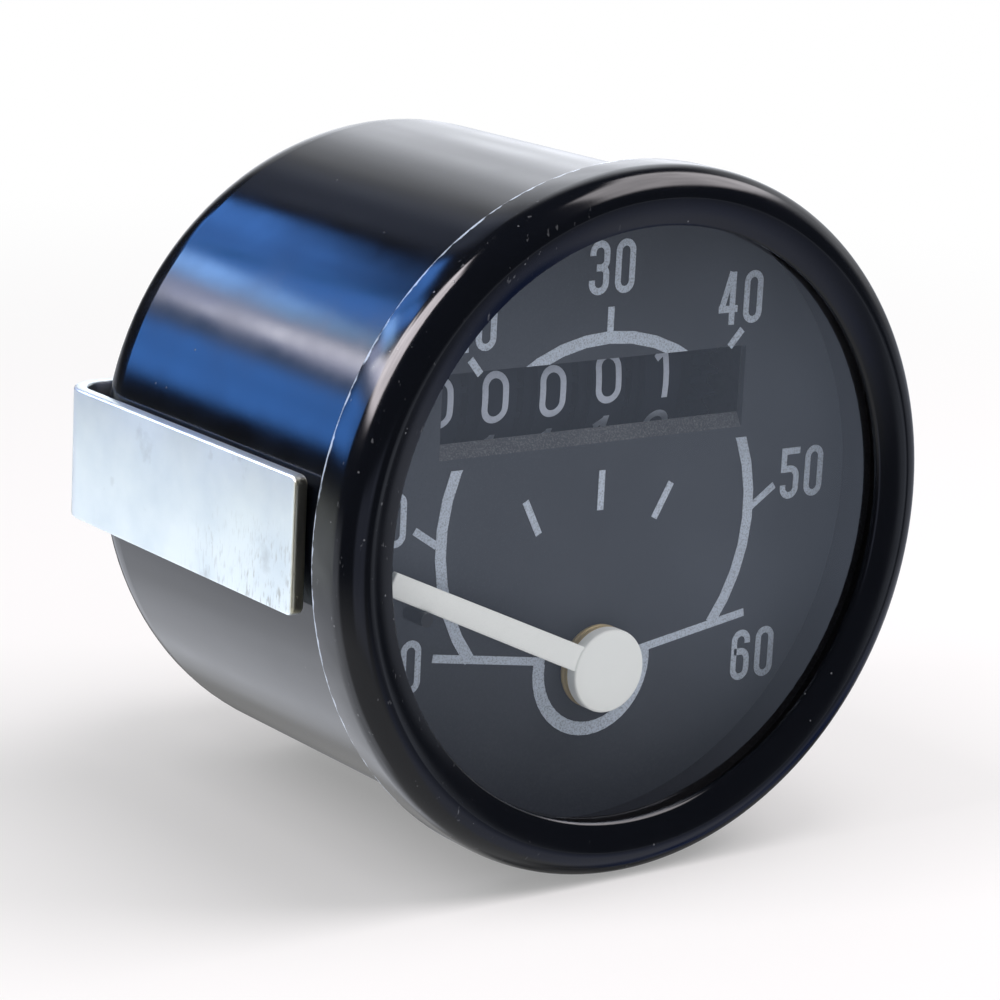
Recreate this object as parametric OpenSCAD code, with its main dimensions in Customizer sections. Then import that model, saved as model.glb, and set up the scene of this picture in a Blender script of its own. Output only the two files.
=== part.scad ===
// Moped speedometer, 48 mm can: magnetic speed hand and five-drum distance counter.
// Axes: X to the right seen from the dial, Y to the rear, Z up; origin on the can's axis
// in the plane where the bezel bears on its panel.

/* [Case] */
// Outside diameter of the can
case_d = 48; // [47:0.25:52]
// Depth of the can behind the panel seat
case_depth = 33.6; // [33:0.1:38]
// Sheet thickness of the can
case_wall = 0.8; // [0.6:0.05:0.9]
// Outer radius of the rounded rear edge
case_round = 5; // [2:0.25:5.5]
// Thickness of the front flange
flange_t = 0.7; // [0.5:0.05:1]
// How far the flange stands out from the can
flange_w = 0.5; // [0.3:0.05:0.6]

/* [Bezel and glass] */
// Wall of the bezel outside the flange
bezel_wall = 0.75; // [0.5:0.05:1.2]
// Height of the bezel in front of its seat
bezel_h = 4.4; // [4.2:0.1:5.5]
// Radius of the front shoulder
bezel_round = 2.05; // [1:0.05:2.1]
// Diameter of the opening in the face
bezel_open_d = 42.6; // [40:0.2:44]
// Drop of the dished face towards the opening
bezel_dish = 0.65; // [0.3:0.05:0.8]
// Thickness of the edge that is rolled behind the flange
roll_t = 0.7; // [0.5:0.05:1]
// Thickness of the flat seal
seal_t = 0.3; // [0.2:0.05:0.4]
// Width of the flat seal
seal_w = 2.5; // [1.5:0.1:2.8]
// Thickness of the glass
glass_t = 1.5; // [1.2:0.1:1.6]

/* [Dial] */
// Depth of the dial's face behind the panel seat
dial_y = 1.7; // [1.5:0.1:2]
// Thickness of the dial
dial_t = 0.6; // [0.4:0.05:0.8]
// Wall of the spacer ring between dial and glass
ring_wall = 0.5; // [0.4:0.05:1]
// Left edge of the counter window
window_left = -14.1; // [-15:0.1:-13.5]
// Right edge of the counter window
window_right = 12.5; // [11:0.1:13]
// Lower edge of the counter window
window_low = 6; // [5.5:0.1:7]
// Upper edge of the counter window
window_high = 11; // [10.5:0.1:11.5]
// Height of the sloped lip under the window
window_lip = 1; // [0.6:0.1:1.4]
// Radius of the hole for the pointer's spindle
dial_hole_r = 1.2; // [0.9:0.1:1.6]

/* [Pointer] */
// Height of the pointer's axis below the can's axis
pivot_drop = 11.2; // [11:0.1:12]
// Length of the pointer from its axis
pointer_l = 20.6; // [18:0.1:20.6]
// Width of the pointer at the hub
pointer_w = 1.9; // [1.4:0.1:2.4]
// Width of the pointer at the tip
pointer_tip_w = 1.7; // [1:0.1:2]
// Length of the pointer's blunt point
pointer_point = 0.7; // [0.3:0.1:1.5]
// Angle of the resting pointer above the left horizontal
pointer_rest = 24.5; // [15:0.5:30]
// Thickness of the pointer's arm
pointer_t = 0.5; // [0.4:0.05:0.6]
// Diameter of the pointer's hub disc
hub_d = 6.1; // [4:0.1:7]
// Thickness of the hub disc
hub_t = 1; // [0.8:0.05:1.2]
// How far the arm's back lies in front of the hub's back
arm_step = 0.05; // [0.05:0.05:0.3]
// Gap between hub disc and dial
hub_gap = 1.2; // [1:0.05:1.4]
// Thickness of the collar behind the hub
collar_t = 0.8; // [0.4:0.05:0.9]
// Radius of the pointer's spindle
spindle_r = 0.5; // [0.4:0.05:0.6]
// Radius of the stop peg
peg_r = 0.5; // [0.4:0.05:0.7]
// Distance of the stop peg from the pointer's axis
peg_reach = 17; // [14:0.5:17.5]

/* [Magnet drive] */
// Diameter of the magnet
magnet_d = 10.8; // [9:0.1:11]
// Thickness of the magnet
magnet_t = 4; // [3:0.1:4.2]
// Front face of the magnet behind the panel seat
magnet_y = 12.6; // [12.4:0.1:13]
// Air gap on either side of the cup's wall
cup_gap = 0.5; // [0.4:0.05:0.55]
// Wall of the speed cup
cup_wall = 0.4; // [0.3:0.05:0.45]
// Wall of the flux cup
flux_wall = 0.9; // [0.7:0.05:0.95]
// Wall of the flux cup's hub round the shaft
flux_hub = 1.2; // [0.8:0.1:1.6]
// Depth of the spindle's tip in the drive shaft
tip_depth = 2.4; // [1.5:0.1:3]
// Radius of the drive shaft
shaft_r = 2; // [1.8:0.05:2.1]
// Width across the square socket for the cable
socket_w = 1.9; // [1.6:0.1:2.2]
// Depth of the square socket
socket_l = 7; // [5:0.5:8]
// Front face of the bridge behind the panel seat
bridge_y = 5; // [4.6:0.1:5.4]
// Thickness of the bridge
bridge_t = 1.2; // [0.8:0.1:1.4]
// Distance of the bridge's pillars from the pointer's axis
pillar_x = 12; // [10.5:0.25:13]
// Radius of the bridge's pillars
pillar_r = 2; // [1.6:0.1:2.2]
// Length of the bridge screws' thread
bridge_screw_l = 6.2; // [4:0.1:8]
// Height of the bridge screws' heads
bridge_head_h = 1.2; // [0.8:0.1:1.4]
// Rim of the bridge round its spring and its screws
bridge_rim = 1.2; // [0.8:0.1:1.3]
// Wall of the spindle's bush
spindle_bush_wall = 0.9; // [0.6:0.05:1.1]
// Inner radius of the hairspring
spring_in = 1.7; // [1.5:0.05:2]
// Outer radius of the hairspring
spring_out = 5.4; // [4.5:0.1:5.6]
// Turns of the hairspring
spring_turns = 4; // [3:1:5]
// Thickness of the hairspring's strip
spring_t = 0.15; // [0.1:0.05:0.2]
// Width of the hairspring's strip
spring_w = 0.5; // [0.4:0.05:0.6]

/* [Distance counter] */
// Diameter of a number drum
drum_d = 15; // [14.4:0.1:15.2]
// Height of the drums' axle above the can's axis
drum_z = 8.7; // [8.4:0.1:9]
// Spacing of the drums
drum_pitch = 4.75; // [4.6:0.05:4.8]
// Width of a drum's number face
drum_face = 3; // [2.6:0.1:3.1]
// Middle of the units drum
units_x = 5.95; // [5.8:0.05:6]
// Gap between dial and drums
drum_front_gap = 0.7; // [0.5:0.05:1]
// Module of the worm gears
worm_m = 0.5; // [0.45:0.01:0.5]
// Pitch radius of the worms
worm_r = 2; // [1.9:0.05:2.05]
// Length of a worm
worm_l = 5; // [4:0.25:5.2]
// Width of a worm wheel
wheel_w = 1.6; // [1.2:0.1:1.8]
// Plane of the last worm wheel
train_x = 11; // [10.9:0.05:11.2]
// Radius of the counter's shafts
train_r = 1; // [0.8:0.05:1.1]
// Wall of a wheel's sleeve round its shaft
sleeve_wall = 0.8; // [0.6:0.05:1]
// Length of a wheel's free sleeve end
sleeve_end = 1.3; // [0.8:0.1:1.6]
// Radius of the units wheel's sleeve
units_sleeve_r = 3; // [2.4:0.1:3.4]
// Module of the carry teeth
carry_m = 0.65; // [0.6:0.01:0.66]
// Angle of the carry axle below the drums' axle
carry_angle = 50; // [46:1:54]
// Radius of the carry axle
carry_r = 0.75; // [0.6:0.05:0.9]
// Height of the drums' locking ring above the carry pitch circle
lock_step = 0.4; // [0.3:0.05:0.45]
// Side play of a carry pinion between two drums
pinion_play = 0.2; // [0.15:0.05:0.4]

/* [Frame] */
// Thickness of the frame's base
base_t = 4.2; // [4.1:0.1:4.6]
// Gap between the frame and the can
frame_gap = 0.4; // [0.3:0.05:0.6]
// Thickness of the side cheeks
cheek_t = 1.5; // [1.2:0.1:1.6]
// Inner face of the left cheek
cheek_left = -15.8; // [-16.2:0.1:-15.6]
// Inner face of the right cheek
cheek_right = 14; // [13.9:0.1:14.4]
// Reach of the left cheek below the carry axle
cheek_under = 2.7; // [2:0.1:3]
// Reach of the left cheek above the drums' axle
cheek_over = 4.8; // [3:0.1:5]
// Rim of the cheeks round their openings
cheek_rim = 2.2; // [1.8:0.1:2.4]
// Wall of a bearing block round its shaft
bearing_wall = 0.8; // [0.6:0.05:0.9]
// Distance of the cross shaft's left end from the drive's axis
cross_reach = 5.2; // [5:0.1:6]
// Reach of the upright shaft below the cross shaft
upright_under = 4.2; // [4:0.1:4.8]
// Reach of the upright shaft above the drums' axle
upright_over = 5.5; // [5.2:0.1:5.8]
// Radius of the dial posts
post_r = 1.6; // [1.2:0.1:1.8]
// Distance of the dial posts from the can's axis
post_reach = 20.3; // [19.5:0.1:20.5]
// Angle of the dial posts from straight down
post_angle = 35; // [28:1:37]

/* [Rear fittings] */
// Width of the bracket's strip
bracket_w = 9.7; // [8:0.1:10]
// Thickness of the bracket's strip
bracket_t = 1; // [0.8:0.1:1.6]
// Outer radius of the bracket's bends
bracket_bend = 3; // [2:0.1:4]
// Gap between the bracket's feet and the panel seat
panel_gap = 2.4; // [2.1:0.1:6]
// Gap between the bracket's legs and the can
bracket_gap = 0.15; // [0.1:0.05:0.6]
// Distance between the two studs
stud_span = 22; // [18:0.5:24]
// Thread diameter of the studs
stud_d = 4; // [3:0.5:4]
// Length of the studs behind the can
stud_out = 8.4; // [7.5:0.1:12]
// Width of the nuts across flats
nut_af = 7; // [6:0.5:8]
// Height of the nuts
nut_h = 3.2; // [2.4:0.1:4]
// Chamfer of the nuts' corners
nut_chamfer = 0.5; // [0.3:0.05:0.6]
// Thickness of a spring washer
washer_t = 0.9; // [0.6:0.1:1.2]
// Outer radius of a spring washer
washer_r = 3.6; // [3:0.1:4]
// Thread diameter of the cable neck
neck_d = 10; // [9.5:0.5:10]
// Length of the neck behind the can
neck_out = 9.8; // [8:0.2:14]
// Bore of the neck for the cable's ferrule
ferrule_d = 6; // [5.6:0.1:6.4]
// Depth of the ferrule bore
ferrule_l = 6.6; // [5:0.2:8]
// Step of the neck's spigot below its thread
spigot_step = 0.8; // [0.6:0.05:1]
// Wall of the drive shaft's bush
bush_wall = 0.7; // [0.6:0.05:0.8]
// Distance between the two case screws
case_screw_span = 18; // [14:0.5:20]
// Height of the case screws above the can's axis
case_screw_z = 13; // [11:0.25:13]
// Thread diameter of the case screws
case_screw_d = 3; // [2.5:0.5:3]
// Diameter of the case screws' heads
case_head_d = 5.7; // [5:0.1:6]
// Height of the case screws' heads
case_head_h = 1.65; // [1.2:0.05:2]

/* [Clearances] */
// Radial play of a shaft in its bearing
run_gap = 0.04; // [0.02:0.01:0.08]
// Radial play of a fixed piece in its seat
seat_gap = 0.1; // [0.05:0.01:0.15]
// Play between pieces that pass each other
pass_gap = 0.3; // [0.2:0.05:0.35]

/* [Hidden] */
$fn = 64;
// Depth by which a cut passes its face
cut = 1;
case_r = case_d / 2;
case_in = case_r - case_wall;
case_floor = case_depth - case_wall;
flange_r = case_r + flange_w;
flange_front = -roll_t - flange_t;
bezel_r = flange_r + seat_gap + bezel_wall;
glass_front = flange_front - glass_t;
seal_front = glass_front - seal_t;
glass_r = flange_r - seat_gap;
ring_in = case_in - seat_gap - ring_wall;
dial_back = dial_y + dial_t;
pivot_z = -pivot_drop;
hub_back = dial_y - hub_gap;
hub_front = hub_back - hub_t;
hub_r = hub_d / 2;
magnet_r = magnet_d / 2;
magnet_back = magnet_y + magnet_t;
cup_in = magnet_r + cup_gap;
cup_out = cup_in + cup_wall;
flux_in = cup_out + cup_gap;
flux_out = flux_in + flux_wall;
cup_front = magnet_y - 2 * cup_gap - cup_wall;
flux_back = magnet_back + flux_wall + 2 * cup_gap;
bridge_back = bridge_y + bridge_t;
spindle_end = magnet_y + tip_depth;
spring_y = (bridge_back + cup_front) / 2;
spring_back = spring_y + spring_w;
bush_seat_r = spindle_r + spindle_bush_wall;
bridge_screw_r = pillar_r / 2;
base_back = case_floor;
base_front = base_back - base_t;
base_r = case_in - frame_gap;
base_round = min(case_round - case_wall, base_t - seat_gap);
drum_r = drum_d / 2;
drum_y = dial_back + drum_front_gap + drum_r;
drum_w = drum_pitch - pass_gap;
// Tooth height above and below the pitch circle, in modules
tooth_add = 0.9;
tooth_ded = 1.2;
worm_ded = 1.3;
worm_teeth = 20;
last_teeth = 25;
worm_pitch = PI * worm_m;
wheel_r = worm_m * worm_teeth / 2;
last_r = worm_m * last_teeth / 2;
worm_out = worm_r + worm_m;
worm_root = worm_r - worm_ded * worm_m;
upright_y = drum_y + last_r + worm_r;
cross_y = upright_y + wheel_r + worm_r;
cross_z = pivot_z + wheel_r + worm_r;
gear_teeth = 20;
pinion_teeth = 8;
gear_r = carry_m * gear_teeth / 2;
pinion_r = carry_m * pinion_teeth / 2;
carry_a = gear_r + pinion_r;
carry_y = drum_y + carry_a * cos(carry_angle);
carry_z = drum_z - carry_a * sin(carry_angle);
// Turn of a wheel about X whose drawn X axis then points at the carry axle
carry_turn = 90 - carry_angle;
lock_r = gear_r + lock_step;
pinion_w = drum_pitch - drum_face - pinion_play;
cheek_outer_left = cheek_left - cheek_t;
cheek_outer_right = cheek_right + cheek_t;
sleeve_r = train_r + sleeve_wall;
bearing_half = train_r + bearing_wall;
upright_low = cross_z - upright_under;
upright_high = drum_z + upright_over;
leg_in = case_r + bracket_gap;
leg_out = leg_in + bracket_t;
bar_back = case_depth + bracket_t;
stud_r = stud_d / 2;
stud_end = case_depth + stud_out;
neck_r = neck_d / 2;
neck_end = case_depth + neck_out;
wheel_tip = wheel_r + tooth_add * worm_m;
// Depth at which the cross wheel's rim leaves a ring of radius r round the drive's axis
function clear_y(r) = cross_y + sqrt(pow(wheel_tip, 2) - pow(wheel_r + worm_r - r, 2)) + pass_gap;
ferrule_floor = neck_end - ferrule_l;
ferrule_r = ferrule_d / 2;
bush_r = shaft_r + bush_wall;
spigot_r = neck_r - spigot_step;
neck_front = clear_y(spigot_r);
bush_front = max(base_front, clear_y(bush_r));
thrust_t = 0.3;
thrust_r = bush_r - 2 * seat_gap;
thrust_front = bush_front - thrust_t;
shoulder_r = thrust_r - seat_gap;
shoulder_w = 0.5;

// Solid of revolution about the Y axis from a profile drawn as (radius, y)
module turned() {
    rotate([-90, 0, 0])
        rotate_extrude() children();
}

// The same on the pointer's and drive's axis
module turned_on_pivot() {
    translate([0, 0, pivot_z]) turned() children();
}

// Slab between two depths from an outline drawn as (x, z)
module slab(y0, y1) {
    translate([0, y1, 0])
        rotate([90, 0, 0])
            linear_extrude(y1 - y0) children();
}

// Rod along Y between two depths
module rod_y(x, z, r, y0, y1) {
    translate([x, y0, z])
        rotate([-90, 0, 0]) cylinder(r = r, h = y1 - y0);
}

// Rod along X between two places
module rod_x(y, z, r, x0, x1) {
    translate([x0, y, z])
        rotate([0, 90, 0]) cylinder(r = r, h = x1 - x0);
}

// Rectangle of a revolved profile between two radii and two depths
module band(r0, r1, y0, y1) {
    translate([r0, y0]) square([r1 - r0, y1 - y0]);
}

// Box given by its lowest and highest corners
module block(low, high) {
    translate(low) cube(high - low);
}

// Gear outline with straight-sided teeth, one tooth on the drawn X axis
module gear_outline(teeth, m, skip = 1) {
    pitch = 360 / teeth;
    r = m * teeth / 2;
    tip = r + tooth_add * m;
    root = r - tooth_ded * m;
    flanks = [[-0.26, root], [-0.1, tip], [0.1, tip], [0.26, root]];
    polygon([
        for (tooth = [0 : skip : teeth - 1], f = flanks)
            f[1] * [cos((tooth + f[0]) * pitch), sin((tooth + f[0]) * pitch)]
    ]);
}

// Worm along Z, its thread crossing the drawn X axis at mid length; hand 1 is right-handed
module worm(hand) {
    points = 18;
    slices_per_turn = 12;
    turns = worm_l / worm_pitch;
    // Half width of the crest and width of a flank, as shares of a turn
    crest = 0.07;
    flank = 0.16;
    function thread_r(t) = worm_out - (worm_out - worm_root) * min(1, max(0, (abs(t) - crest) / flank));
    rotate(-hand * turns * 180)
        linear_extrude(worm_l, center = true, twist = -hand * turns * 360,
            slices = ceil(turns * slices_per_turn), $fn = points)
            polygon([
                for (i = [0 : points - 1])
                    let (t = i / points - 0.5) thread_r(t) * [cos(t * 360), sin(t * 360)]
            ]);
}

// Worm wheel with its sleeve on the shaft, along Z, a gap on the drawn X axis
module worm_wheel(teeth, sleeve_low, sleeve_high) {
    difference() {
        union() {
            rotate(180 / teeth)
                translate([0, 0, -wheel_w / 2]) linear_extrude(wheel_w) gear_outline(teeth, worm_m);
            translate([0, 0, sleeve_low]) cylinder(r = sleeve_r, h = sleeve_high - sleeve_low);
        }
        translate([0, 0, sleeve_low - cut])
            cylinder(r = train_r, h = sleeve_high - sleeve_low + 2 * cut);
    }
}

// Drawn can with a rounded rear edge: outline of one of its surfaces
module can_outline(r, front, back, round_r) {
    band(0, r, front, back - round_r);
    band(0, r - round_r, front, back);
    translate([r - round_r, back - round_r]) circle(round_r);
}

module case() {
    color("#15171c") difference() {
        turned() difference() {
            union() {
                intersection() {
                    can_outline(case_r, flange_front, case_depth, case_round);
                    band(0, case_d, flange_front, case_depth + cut);
                }
                band(case_in, flange_r, flange_front, -roll_t);
            }
            intersection() {
                can_outline(case_in, flange_front - cut, case_floor, case_round - case_wall);
                band(0, case_d, flange_front - cut, case_depth);
            }
        }
        for (side = [-1, 1]) {
            rod_y(side * stud_span / 2, 0, stud_r + seat_gap, case_floor - cut, case_depth + cut);
            rod_y(side * case_screw_span / 2, case_screw_z, case_screw_d / 2 + seat_gap,
                case_floor - cut, case_depth + cut);
        }
        rod_y(0, pivot_z, spigot_r + seat_gap, case_floor - cut, case_depth + cut);
    }
}

// Section of the bezel: dished face, round shoulder, edge rolled behind the flange
module bezel_section() {
    open_r = bezel_open_d / 2;
    crest_r = bezel_r - bezel_round;
    difference() {
        union() {
            band(open_r, bezel_r, -bezel_h + bezel_round, 0);
            polygon([
                [open_r, -bezel_h + bezel_dish],
                [crest_r, -bezel_h],
                [crest_r, 0],
                [open_r, 0]
            ]);
            translate([crest_r, -bezel_h + bezel_round]) circle(bezel_round);
        }
        polygon([
            [open_r - cut, -bezel_h - cut],
            [crest_r, -bezel_h - cut],
            [crest_r, -bezel_h],
            [open_r, -bezel_h + bezel_dish],
            [open_r - cut, -bezel_h + bezel_dish]
        ]);
        band(0, flange_r + seat_gap, seal_front, -roll_t);
        band(0, case_r + seat_gap / 2, -roll_t - cut, cut);
    }
}

module bezel() {
    color("#0d0e11") turned() bezel_section();
}

module glass() {
    color([0.85, 0.9, 0.95, 0.25]) turned() band(0, glass_r, glass_front, flange_front);
}

module glass_seal() {
    color("#101010") turned() band(glass_r - seal_w, glass_r, seal_front, glass_front);
}

module dial_ring() {
    color("#17191d") turned() band(ring_in, case_in - seat_gap, flange_front, dial_y);
}

module dial() {
    color("#3a3d44") difference() {
        turned() band(0, case_in - seat_gap, dial_y, dial_back);
        block([window_left, dial_y - cut, window_low], [window_right, dial_back + cut, window_high]);
        translate([window_left, 0, 0])
            rotate([90, 0, 90])
                linear_extrude(window_right - window_left)
                    polygon([
                        [dial_y, window_low - window_lip],
                        [dial_back, window_low],
                        [dial_back, window_low + window_lip],
                        [dial_y - cut, window_low + window_lip],
                        [dial_y - cut, window_low - window_lip]
                    ]);
        rod_y(0, pivot_z, dial_hole_r, dial_y - cut, dial_back + cut);
        peg_place() rod_y(0, 0, peg_r, dial_y - cut, dial_back + cut);
    }
}

// Place of the stop peg: just under the resting pointer's lower edge
module peg_place() {
    half_w = (pointer_w + (pointer_tip_w - pointer_w) * peg_reach / pointer_l) / 2;
    translate([0, 0, pivot_z])
        rotate([0, pointer_rest, 0])
            translate([-peg_reach, 0, -half_w - peg_r - run_gap]) children();
}

module pointer_stop() {
    color("#0a0a0a") peg_place() rod_y(0, 0, peg_r, hub_front, dial_back);
}

module pointer() {
    arm_back = hub_back - arm_step;
    color("#e4e7e4") translate([0, 0, pivot_z]) difference() {
        union() {
            turned() band(0, hub_r, hub_front, hub_back);
            rotate([0, pointer_rest, 0])
                slab(arm_back - pointer_t, arm_back)
                    polygon([
                        [0, -pointer_w / 2],
                        [0, pointer_w / 2],
                        [-pointer_l + pointer_point, pointer_tip_w / 2],
                        [-pointer_l, pointer_tip_w / 4],
                        [-pointer_l, -pointer_tip_w / 4],
                        [-pointer_l + pointer_point, -pointer_tip_w / 2]
                    ]);
        }
        rod_y(0, 0, spindle_r, hub_back - hub_t / 2, hub_back + cut);
    }
}

module pointer_collar() {
    color("#8a7a4f") turned_on_pivot() band(spindle_r, hub_r, hub_back, hub_back + collar_t);
}

module pointer_spindle() {
    color("silver") rod_y(0, pivot_z, spindle_r, hub_back - hub_t / 2, spindle_end);
}

module speed_cup() {
    color("#c9ccd0") turned_on_pivot() {
        band(spindle_r, cup_out, cup_front, cup_front + cup_wall);
        band(cup_in, cup_out, cup_front, magnet_back);
    }
}

module hairspring_collet() {
    color("#b08d3e") turned_on_pivot() band(spindle_r, spring_in - pass_gap, spring_y, spring_back);
}

module hairspring() {
    steps_per_turn = 24;
    steps = spring_turns * steps_per_turn;
    pitch = (spring_out - spring_in) / spring_turns;
    function at(i, side) = let (turn = i / steps_per_turn, r = spring_in + pitch * turn + side * spring_t / 2)
        r * [cos(turn * 360), sin(turn * 360)];
    echo("least gap between turns of the hairspring", pitch - spring_t);
    color("#4d6fae") translate([0, 0, pivot_z])
        slab(spring_y, spring_back)
            polygon([
                for (i = [0 : steps]) at(i, 1),
                for (i = [steps : -1 : 0]) at(i, -1)
            ]);
}

// The stud stands outside the outer turn and takes the strip's end in a slot of its own
module hairspring_stud() {
    stud_rod_r = 0.6;
    color("#b08d3e")
        rod_y(spring_out + spring_t / 2 + stud_rod_r, pivot_z, stud_rod_r, bridge_back, spring_back);
}

module bridge() {
    boss_r = pillar_r + bridge_rim;
    waist = 2 * pillar_r;
    color("#b9a15a") difference() {
        slab(bridge_y, bridge_back) translate([0, pivot_z]) {
            circle(spring_out + bridge_rim);
            translate([-pillar_x, -waist / 2]) square([2 * pillar_x, waist]);
            for (side = [-1, 1]) translate([side * pillar_x, 0]) circle(boss_r);
        }
        rod_y(0, pivot_z, bush_seat_r, bridge_y - cut, bridge_back + cut);
        for (side = [-1, 1])
            rod_y(side * pillar_x, pivot_z, bridge_screw_r + seat_gap, bridge_y - cut, bridge_back + cut);
    }
}

module spindle_bush() {
    // Nose in front of the bridge and flange behind it
    nose = 0.5;
    flange = 0.4;
    color("#c09a45") turned_on_pivot() {
        band(spindle_r + run_gap, bush_seat_r, bridge_y - nose, bridge_back);
        band(spindle_r + run_gap, bush_seat_r + flange, bridge_back, bridge_back + flange);
    }
}

module bridge_screws() {
    slot_w = 0.6;
    slot_depth = bridge_head_h / 2;
    head_front = bridge_y - bridge_head_h;
    color("#a9adb3") for (side = [-1, 1]) translate([side * pillar_x, 0, pivot_z]) {
        rod_y(0, 0, bridge_screw_r, bridge_y, bridge_y + bridge_screw_l);
        difference() {
            rod_y(0, 0, pillar_r, head_front, bridge_y);
            block([-pillar_r - cut, head_front - cut, -slot_w / 2],
                [pillar_r + cut, head_front + slot_depth, slot_w / 2]);
        }
    }
}

module magnet() {
    color("#4a4d52") turned_on_pivot() band(shaft_r, magnet_r, magnet_y, magnet_back);
}

module flux_cup() {
    color("#8f959c") turned_on_pivot() {
        band(flux_in, flux_out, cup_front, flux_back);
        band(shaft_r, flux_out, flux_back - flux_wall, flux_back);
        band(shaft_r, shaft_r + flux_hub, magnet_back, flux_back);
    }
}

module drive_shaft() {
    // Undercut at either end of the worm
    relief = 0.4;
    color("#9aa0a6") difference() {
        union() {
            rod_y(0, pivot_z, shaft_r, magnet_y, cross_y - worm_l / 2 - relief);
            rod_y(0, pivot_z, worm_root - relief / 2, cross_y - worm_l, cross_y + worm_l);
            rod_y(0, pivot_z, shaft_r, cross_y + worm_l / 2 + relief, ferrule_floor);
            rod_y(0, pivot_z, shoulder_r, thrust_front - shoulder_w, thrust_front);
            translate([0, cross_y, pivot_z]) rotate([-90, 0, 0]) rotate(-90) worm(-1);
        }
        rod_y(0, pivot_z, spindle_r + run_gap, magnet_y - cut, spindle_end + pass_gap);
        block([-socket_w / 2, ferrule_floor - socket_l, pivot_z - socket_w / 2],
            [socket_w / 2, ferrule_floor + cut, pivot_z + socket_w / 2]);
    }
}

module drive_bush() {
    color("#b5893f") turned_on_pivot() band(shaft_r + run_gap, bush_r, bush_front, ferrule_floor);
}

module thrust_washer() {
    color("#b8bcc2") turned_on_pivot() band(shaft_r + run_gap, thrust_r, thrust_front, bush_front);
}

// Side cheek seen from the side: outline between two heights
module cheek(x0, low, high) {
    block([x0, dial_back, low], [x0 + cheek_t, base_front, high]);
}

// Base plate that fills the can's rear, rounded as the can is
module frame_base() {
    turned() intersection() {
        can_outline(base_r, base_front, base_back, base_round);
        band(0, base_r, base_front, base_back);
    }
}

module main_frame() {
    left_low = carry_z - cheek_under;
    left_high = drum_z + cheek_over;
    // Depth by which an arm or pillar is let into the face that carries it
    root = cut / 2;
    window_y = wheel_tip + 2 * pass_gap;
    window_z = wheel_w / 2 + 2 * pass_gap;
    pocket = wheel_tip + pass_gap;
    color("#9b9ea3") difference() {
        union() {
            frame_base();
            intersection() {
                turned() band(0, base_r, dial_back, base_front + root);
                union() {
                    cheek(cheek_outer_left, left_low, left_high);
                    cheek(cheek_right, upright_low, upright_high);
                    for (z = [upright_low, upright_high - cheek_t])
                        block([train_x - bearing_half, upright_y - bearing_half, z],
                            [cheek_right + root, upright_y + bearing_half, z + cheek_t]);
                    block([-cross_reach, cross_y - bearing_half, cross_z - bearing_half],
                        [-cross_reach + cheek_t, base_front + root, cross_z + bearing_half]);
                    for (side = [-1, 1]) {
                        rod_y(side * pillar_x, pivot_z, pillar_r, bridge_back, base_front + root);
                        rod_y(side * post_reach * sin(post_angle), -post_reach * cos(post_angle), post_r,
                            dial_back, base_front + root);
                    }
                }
            }
        }
        // Openings in the cheeks that lighten them and clear the upright wheel
        block([cheek_right - cut, upright_y - window_y, cross_z - window_z],
            [cheek_outer_right + cut, upright_y + window_y, cross_z + window_z]);
        block([cheek_outer_left - cut, carry_y + cheek_rim, left_low + cheek_rim],
            [cheek_left + cut, base_front - cheek_rim, left_high - cheek_rim]);
        // Pocket for the cross wheel
        block([-wheel_w / 2 - 2 * pass_gap, base_front - cut, cross_z - pocket],
            [wheel_w / 2 + 2 * pass_gap, cross_y + pocket, cross_z + pocket]);
        // Bearings of the counter's axles and shafts
        rod_x(drum_y, drum_z, train_r + run_gap / 2, cheek_outer_left - cut, cheek_outer_right + cut);
        rod_x(carry_y, carry_z, carry_r + run_gap / 2, cheek_outer_left - cut, cheek_outer_right + cut);
        rod_x(cross_y, cross_z, train_r + run_gap, -cross_reach - cut, cheek_outer_right + cut);
        translate([train_x, upright_y, upright_low - cut])
            cylinder(r = train_r + run_gap, h = upright_high - upright_low + 2 * cut);
        // Seats of neck, bush, studs and screws
        rod_y(0, pivot_z, spigot_r, neck_front, base_back + cut);
        rod_y(0, pivot_z, bush_r, base_front - cut, base_back);
        for (side = [-1, 1]) {
            rod_y(side * stud_span / 2, 0, stud_r, base_front - cut, base_back + cut);
            rod_y(side * case_screw_span / 2, case_screw_z, case_screw_d / 2,
                base_front - cut, base_back + cut);
            rod_y(side * pillar_x, pivot_z, bridge_screw_r, bridge_back - cut, bridge_y + bridge_screw_l);
        }
    }
}

module cross_shaft() {
    color("#a3a8ae") {
        rod_x(cross_y, cross_z, train_r, -cross_reach, cheek_outer_right);
        translate([train_x, cross_y, cross_z]) rotate([0, 90, 0]) rotate(-90) worm(1);
    }
}

module cross_wheel() {
    color("#d8d2bd") translate([0, cross_y, cross_z])
        rotate([0, 90, 0]) worm_wheel(worm_teeth, cheek_t + pass_gap - cross_reach, wheel_w / 2 + sleeve_end);
}

module upright_shaft() {
    color("#a3a8ae") {
        translate([train_x, upright_y, upright_low]) cylinder(r = train_r, h = upright_high - upright_low);
        translate([train_x, upright_y, drum_z]) rotate(-90) worm(1);
    }
}

module upright_wheel() {
    color("#d8d2bd") translate([train_x, upright_y, cross_z])
        rotate(90) worm_wheel(worm_teeth, cheek_t + pass_gap - upright_under, wheel_w / 2 + sleeve_end);
}

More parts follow.
